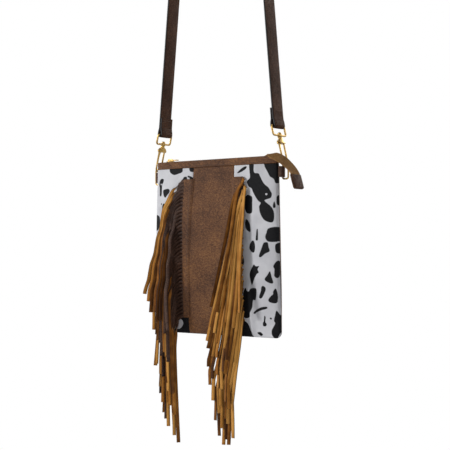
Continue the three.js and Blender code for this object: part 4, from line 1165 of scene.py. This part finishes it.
print("strap leans", round(lean_degrees, 2), "degrees; foot at", foot.round(1))

# %% Strap stitches
STITCH_X = STRAP_W / 2 - 3.2


def foot_stitches(side, out, stand, up, across):
    """A row on a foot's outer (out = 1) or inner face, between two heights and two places."""
    line = at_foot(np.full(2, out * (STRAP_T + stand)), np.array(up))
    line[:, 1] += across
    facing = np.array([side * out * math.cos(strap_lean), 0, out * math.sin(strap_lean)])
    return stitch_row(line * [side, 1, 1], facing)


rows = []
for side in (-1, 1):
    for up, stand in ((FOLD_L - 3.5, -0.1), (8.5, 0.12)):
        rows += [foot_stitches(side, out, stand, (up, up), (-STITCH_X, STITCH_X))
                 for out in (1, -1)]
    for across in (-STITCH_X, STITCH_X):
        rows += [foot_stitches(side, out, -0.12, (12.0, FOLD_L - 4.5), across)
                 for out in (1, -1)]
made("strap_stitches", rows, THREAD, "bag", "strap_leather")

# %% [markdown]
# ## Side tabs and D-rings
#
# A short strip of leather is folded round the straight bar of each D-ring and sewn into the
# side seam. The ring is round wire, bent like a letter D with soft corners.

# %% Tabs and rings
TAB_TOP, TAB_H, TAB_T, TAB_GAP, TAB_NECK, TAB_ROOT = -14.5, 15.0, 1.6, 0.05, 4.5, 1.75
D_WIRE, D_DEPTH, D_CORNER, D_BOW = 1.2, 9.0, 2.0, 3.0
bar_x = float(half_width(np.array(TAB_TOP - TAB_H))) + CLEAR + TAB_T
bar_y = foot[1]
d_top = TAB_TOP + 1 + 2 * 1.3 + 0.8 + D_WIRE
d_bottom = TAB_TOP - TAB_H - CLEAR - D_CORNER
fold_x = TAB_T / 2 + TAB_GAP
tab = curved([(fold_x, -(TAB_ROOT + bar_y)), (fold_x, -TAB_NECK),
              *arc(0, 0, D_WIRE + CLEAR + TAB_T / 2, -58, 238, 24),
              (-fold_x, -TAB_NECK), (-fold_x, -(TAB_ROOT + bar_y))], 4)
bow_x = D_DEPTH - D_BOW
ring = np.concatenate([arc(D_CORNER, d_top - D_CORNER, D_CORNER, 180, 90, 8),
                       arc(bow_x, d_top - D_BOW, D_BOW, 90, 0, 10),
                       arc(bow_x, d_bottom + D_BOW, D_BOW, 0, -90, 10),
                       arc(D_CORNER, d_bottom + D_CORNER, D_CORNER, 270, 180, 8)])
for name, side in SIDES:
    path = np.stack([side * bar_x + tab[:, 0], bar_y + tab[:, 1],
                     np.full(len(tab), TAB_TOP - TAB_H / 2)], -1)
    made(f"{name}_tab_leather", tube(swept(path, strip_section(TAB_T, TAB_H, 0.1, 0.5), (0, 0, 1))),
         PLAIN, "bag", "brown_leather", [f"{name}_side_tab"], sharp=60)
    path = np.stack([side * (bar_x + ring[:, 0]), np.full(len(ring), bar_y), ring[:, 1]], -1)
    made(f"{name}_d_wire", wire(evened(path, 0.8, True), D_WIRE, (0, 1, 0), True), GOLD,
         f"{name}_d_ring_body", "gold_metal", [f"{name}_d_ring"], sharp=180)

# %% [markdown]
# ## Swivel hooks
#
# Each hook hangs from a wide loop that the strap passes through. A headed post turns in the
# loop's boss. Under it come a collar, a slotted block, and the bent bow that takes the ring. A
# sprung gate closes the bow. They are made about the swivel's axis and then leant inwards.

# %% Places in the hook
WIRE_R, BOW_HALF, DROP, TIP, LOOP_IN, LOOP_BEND = 1.3, 5.4, 36.0, 5.0, 27.0, 3.0
BOSS_HALF, BOSS_R, POST_R, HEAD_R, HEAD_H = 2.2, 3.4, 1.4, 2.6, 2.0
COLLAR_R, COLLAR_H, BLOCK_H, BLOCK_X = 3.2, 2.5, 7.0, 2.9
GATE_T, GATE_R, PIN_R, PIN_DOWN, PIN_IN, THROUGH = 2.0, 2.0, 0.8, 9.0, 3.4, 0.01
block_top = -(BOSS_HALF + CLEAR + COLLAR_H)
block_low = block_top - BLOCK_H
block_out = BOW_HALF + WIRE_R + CLEAR
seat = BOSS_HALF + CLEAR


def flat_to_x(part):
    """A slab drawn in (a, b) with its thickness third, stood up so that it faces along X."""
    points, *rest = part
    return (points[:, [2, 0, 1]], *rest)


def moved(part, offset):
    """The same part, moved by an offset."""
    return (part[0] + np.asarray(offset, float), *part[1:])


def hung(part, side):
    """Turned about Y by the hook's lean, towards the bag's middle, and moved to its swivel."""
    points, *rest = part
    a = -side * lean
    x = points[:, 0] * math.cos(a) + points[:, 2] * math.sin(a)
    z = -points[:, 0] * math.sin(a) + points[:, 2] * math.cos(a)
    return (np.stack([x, points[:, 1], z], -1) + hook_at * [side, 1, 1], *rest)


def in_plane(points):
    """Points (y, z) in the plane x = 0."""
    p = np.asarray(points, float)
    return np.stack([0 * p[:, 0], p[:, 0], p[:, 1]], -1)


print("hook's block from", block_top, "to", block_low, "mm below the swivel")

# %% Loop, hook and gate
flat = LOOP_IN / 2 + LOOP_WIRE - LOOP_BEND
loop_line = np.concatenate([arc(flat, LOOP_H - LOOP_BEND, LOOP_BEND, 0, 90, 8),
                            arc(-flat, LOOP_H - LOOP_BEND, LOOP_BEND, 90, 180, 8),
                            arc(-flat, LOOP_BEND, LOOP_BEND, 180, 270, 8),
                            arc(flat, LOOP_BEND, LOOP_BEND, 270, 360, 8)])
loop_wire = wire(evened(in_plane(loop_line), 0.9, True), LOOP_WIRE, (1, 0, 0), True)
boss = turned_profile([(0, -BOSS_HALF), (2.9, -BOSS_HALF), (3.3, -1.9), (BOSS_R, -1.5),
                       (BOSS_R, 1.5), (3.3, 1.9), (2.9, BOSS_HALF), (0, BOSS_HALF)])
bore = turned_profile([(0, -6), (POST_R + CLEAR, -6), (POST_R + CLEAR, 6), (0, 6)])
post = turned_profile([(0, block_top - 0.6), (2.7, block_top - 0.6), (COLLAR_R, block_top),
                       (COLLAR_R, block_top + 0.5), (2.9, block_top + 0.9), (2.9, -seat - 0.8),
                       (COLLAR_R, -seat - 0.5), (COLLAR_R - 0.3, -seat), (POST_R, -seat),
                       (POST_R, seat), (2.3, seat), (HEAD_R, seat + 0.3), (HEAD_R, seat + 0.8),
                       (2.2, seat + 1.4), (1.2, seat + 1.9), (0, seat + HEAD_H)])
shoulder = curved([(-block_out, block_low + 2.2), (-6.2, block_low + 3.6),
                   (-4.6, block_top - 1.4), (-2.6, block_top)], 4)
block_line = np.concatenate([shoulder, (shoulder * [-1, 1])[::-1],
                             [(block_out, block_low + 0.8), (block_out - 0.8, block_low),
                              (-block_out + 1.5, block_low), (-block_out, block_low + 1.5)]])
block = flat_to_x(slab(block_line, 2 * BLOCK_X, 0.5))
bow_line = np.concatenate([[(BOW_HALF, block_top - 0.7 * BLOCK_H)],
                           arc(0, -DROP, BOW_HALF, 0, -180, 24), [(-BOW_HALF, -DROP + TIP)]])
bow = wire(evened(in_plane(bow_line), 0.8), WIRE_R, (1, 0, 0))
slot_top = -PIN_DOWN + GATE_R + CLEAR
slot_line = [(-15, block_low - 2), (0, block_low - 2), (0, slot_top), (-15, slot_top)]
slot_box = flat_to_x(slab(slot_line, GATE_T + 2 * CLEAR, THROUGH))
pin_circle = arc(0, 0, PIN_R + CLEAR, 0, 360, 16)[:-1]
pin_bore = moved(flat_to_x(slab(pin_circle, 4 * BLOCK_X, THROUGH)), (0, -PIN_IN, -PIN_DOWN))
inner, outer = -BOW_HALF + 0.85 * WIRE_R, -BOW_HALF - 0.85 * WIRE_R
gate_end = -DROP + TIP + CLEAR
thumb = curved([(-PIN_IN - 4.2, -PIN_DOWN + 1.3), (-PIN_IN - 5.3, -PIN_DOWN + 0.9),
                (-PIN_IN - 5.4, -PIN_DOWN - 0.4), (-PIN_IN - 3.9, -PIN_DOWN - 2.2),
                (outer - 0.1, -PIN_DOWN - 4.4)], 3)
gate_line = np.concatenate([arc(-PIN_IN, -PIN_DOWN, GATE_R, 0, 150, 10), thumb,
                            [(outer, gate_end), (inner, gate_end),
                             (inner + 0.2, -PIN_DOWN - 9), (inner + 1.1, -PIN_DOWN - 5)]])
gate = flat_to_x(slab(gate_line, GATE_T, 0.35))
for name, side in SIDES:
    for part_name, parts, cuts, sharp in (("loop", [loop_wire, boss], [bore], 50),
                                          ("hook", [post, block, bow], [slot_box, pin_bore], 40),
                                          ("gate", [gate], [pin_bore], 40)):
        solid(f"{name}_{part_name}_metal", [hung(part, side) for part in parts],
              [hung(cut, side) for cut in cuts], f"{name}_{part_name}_body",
              f"{name}_{part_name}", sharp)

# %% [markdown]
# ## Zipper
#
# Woven tapes close the mouth on both sides of the teeth. The tape runs on past the right end
# as a tail that comes over the band, hangs beyond the pouch and ends in a leather cap.

# %% Tapes
TAPE_HALF, TAPE_FROM, TAPE_THICK = 91.5, 2.2, 0.8


def mouth_half(x):
    """Half the gap between the two bands at the rim."""
    return CLEAR / 2 + swell(x, np.full_like(x, -BAND_H / 2)) - CLEAR


for name, facing in (("front", -1), ("back", 1)):
    s = np.linspace(-1, 1, 120)[:, None]
    r = np.linspace(0, 1, 14)[None, :]
    x = TAPE_HALF * s + 0 * r
    y = facing * lerp(TAPE_FROM, mouth_half(x), r)
    top = -0.5 - 0.35 * np.sin(r * math.pi) + 0 * x
    sheet = shell(np.stack([x, y, top], -1), np.stack([x, y, top - TAPE_THICK], -1))
    made(f"{name}_tape_cloth", (*sheet, []), TAPE, "bag", "zipper_tape",
         [f"{name}_zipper_tape"], sharp=60)

# %% Tail and its cap
TAIL_HALF_T, CAP_T, SWING = 0.6, 3.2, 17
# Each station of the tail is its x, y, z, width and tilt in degrees.
stations = [(84.3, 0, -1, 3.8, 0), (90, 0, 1.2, 3.8, 0), (97, -3.75, 2.1, 11.6, 6),
            (104, -9.4, 1.2, 18.9, 14), (112, -12.5, -1.4, 21, 20), (123, -12.5, -6.5, 21, 18),
            (133, -12.5, -14, 21, 12), (140, -12.5, -20.5, 21, 6), (144.5, -12.5, -26, 21, 0),
            (145.5, -12.5, -29, 21, 0)]
line = curved(stations)
along = directions(line[:, :3] * [1, 0, 1])
tilt = np.radians(line[:, 4])
wide = np.stack([0 * tilt, np.cos(tilt), np.sin(tilt)], -1)
thick = unit(np.cross(along, wide))
across = np.linspace(-1, 1, 15)
surface = [line[:, None, :3] + wide[:, None] * (across[None, :, None] * line[:, None, 3:4] / 2)
           + thick[:, None] * (side * TAIL_HALF_T) for side in (1, -1)]
tail = made("tail_cloth", (*shell(*surface), []), TAPE, "bag", "zipper_tape", ["zipper_tail"],
            sharp=60)
cap_line = [(-11, 10), *arc(-8, -7, 3, 180, 270, 6), *arc(8, -7, 3, 270, 360, 6), (11, 10)]
cap, quads, ends = moved(flat_to_x(slab(cap_line, CAP_T, 0.6)), (0, 0, -10))
swing = math.radians(SWING)
cap = cap @ np.array([[math.cos(swing), 0, math.sin(swing)], [0, 1, 0],
                      [-math.sin(swing), 0, math.cos(swing)]])
made("tail_cap", (cap + [145.5, -12.5, -28.6], quads, ends), STRAP, "bag", "strap_leather",
     ["zipper_tail_end"], sharp=50)

# %% Metal zipper parts keep their CAD shape
cad_metal = ("front_zipper_teeth", "back_zipper_teeth", "zipper_slider", "zipper_slider_base",
             "zipper_puller", "zipper_end_stop", "left_gate_pin", "right_gate_pin")
for node in cad_metal:
    body = frame["nodes"][node]
    body.data.materials.clear()
    body.data.materials.append(GOLD)
print("CAD nodes in gold:", len(cad_metal))

# %% Seam stitches
BAND_ROW, FRINGE_ROW = 104, 195
rows = []
x = np.linspace(-BAND_ROW, BAND_ROW, 80)
z = np.full_like(x, -BAND_H + HEM)
for facing in (-1, 1):
    path = np.stack([x, facing * (CLEAR / 2 + BAND_WALL + swell(x, z) - 0.2), z], -1)
    rows.append(stitch_row(path, (0, facing, 0)))
z = np.linspace(-FRINGE_TOP - 2, -FRINGE_TOP - 2 - FRINGE_ROW, 60)
for side in (-1, 1):
    x = side * (centre_half(z) + CLEAR + HEM)
    path = np.stack([x, -(face_depth(x, z) + CLEAR + LEATHER - 0.1), z], -1)
    rows.append(stitch_row(path, (0, -1, 0)))
made("seam_stitches", rows, THREAD, "bag", "brown_leather")

# %% [markdown]
# ## Floor, light and camera
#
# The bag hangs well above a pale floor that fades into the white world. The key light stands
# at the camera's left, a wide weak one at its right and a third one behind the bag, and the
# world fills the shadows. The camera stands to the right of the front, level with the pouch's
# middle, with a long lens.

# %% Floor and world
FLOOR_R, FLOOR_Z, FADE_FROM, FADE_TO = 1300, -700, 1.45, 1.75


def disc(radius, z, rings=24, sides=96):
    """Rings of points round the middle, closed by a small flat centre."""
    r = np.linspace(0.02, 1, rings)[:, None] * radius
    a = np.linspace(0, 2 * math.pi, sides, endpoint=False)[None, :]
    points = np.stack([r * np.cos(a), r * np.sin(a), z + 0 * r * a], -1).reshape(-1, 3)
    return points, table_quads(rings, sides, wrap_cols=True), [list(range(sides))[::-1]]


FLOOR, tree, shader, where = finish("pale_floor")
join(tree, shader, Roughness=0.9,
     Base_Color=ramp(tree, noise(tree, where, 3, 2.0),
                     (0.3, (0.80, 0.80, 0.80, 1)), (0.7, (0.82, 0.82, 0.82, 1))))
away = add(tree, "ShaderNodeVectorMath", {"operation": "LENGTH"}, _0=where).outputs["Value"]
white = add(tree, "ShaderNodeEmission", Color=(1, 1, 1, 1), Strength=1.0)
blend = add(tree, "ShaderNodeMixShader", _0=stretch(tree, away, FADE_FROM, FADE_TO),
            _1=shader.outputs[0], _2=white.outputs[0])
join(tree, tree.nodes["Material Output"], Surface=blend.outputs[0])
put("floor", *disc(FLOOR_R, FLOOR_Z), slots=[FLOOR])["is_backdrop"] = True

world = bpy.data.worlds.new("studio")
bpy.context.scene.world = world
world.use_nodes = True
tree = world.node_tree
ray = tree.nodes.new("ShaderNodeLightPath").outputs
direct = sums(tree, "MAXIMUM", ray["Is Camera Ray"], ray["Is Glossy Ray"])
seen = sums(tree, "MAXIMUM", direct, ray["Is Transmission Ray"])
soft = tree.nodes["Background"]
join(tree, soft, Color=(1, 1, 1, 1), Strength=0.2)
bright = add(tree, "ShaderNodeBackground", Color=(1, 1, 1, 1), Strength=1.0)
both = add(tree, "ShaderNodeMixShader", _0=seen, _1=soft.outputs[0], _2=bright.outputs[0])
join(tree, tree.nodes["World Output"], Surface=both.outputs[0])
print("floor at", FLOOR_Z, "mm below the rim")

# %% Lights and camera
def light(name, place_m, target_m, size, power):
    """A round lamp at a place, turned to its target, with its size in metres."""
    lamp = bpy.data.lights.new(name, "AREA")
    lamp.shape, lamp.size, lamp.energy = "DISK", size, power
    holder = bpy.data.objects.new(name, lamp)
    bpy.context.scene.collection.objects.link(holder)
    holder.location = place_m
    way = Vector(target_m) - Vector(place_m)
    holder.rotation_euler = way.to_track_quat("-Z", "Y").to_euler()
    print(name, power, "W")


middle = (0, 0, -0.7)
light("key_light", (-1.7, -1.8, 0.1), middle, 0.6, 50)
light("fill_light", (2.2, -1.3, -0.2), middle, 1.6, 9)
light("rear_light", (0.4, 2.2, 0.4), middle, 1.4, 30)

lens = bpy.data.cameras.new("camera")
lens.sensor_width, lens.lens = 36.0, 88.8
camera = bpy.data.objects.new("camera", lens)
bpy.context.scene.collection.objects.link(camera)
camera.location = (0.985, -1.247, -0.7105)
azimuth, pitch = math.radians(38), math.radians(1.24)
aim = Vector((-math.sin(azimuth) * math.cos(pitch), math.cos(azimuth) * math.cos(pitch),
              math.sin(pitch)))
camera.rotation_euler = aim.to_track_quat("-Z", "Y").to_euler()
bpy.context.scene.camera = camera
bpy.context.scene.view_settings.view_transform = "Standard"
print("camera at", tuple(round(c, 3) for c in camera.location))

bpy.context.view_layer.update()
made_box = [list(corner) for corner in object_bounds()]
for k, axis in enumerate("xyz"):
    past = [round(1000 * (made_box[e][k] - cad_box[e][k]), 1) for e in (0, 1)]
    print(axis, "mm:", past, "beyond the CAD box")
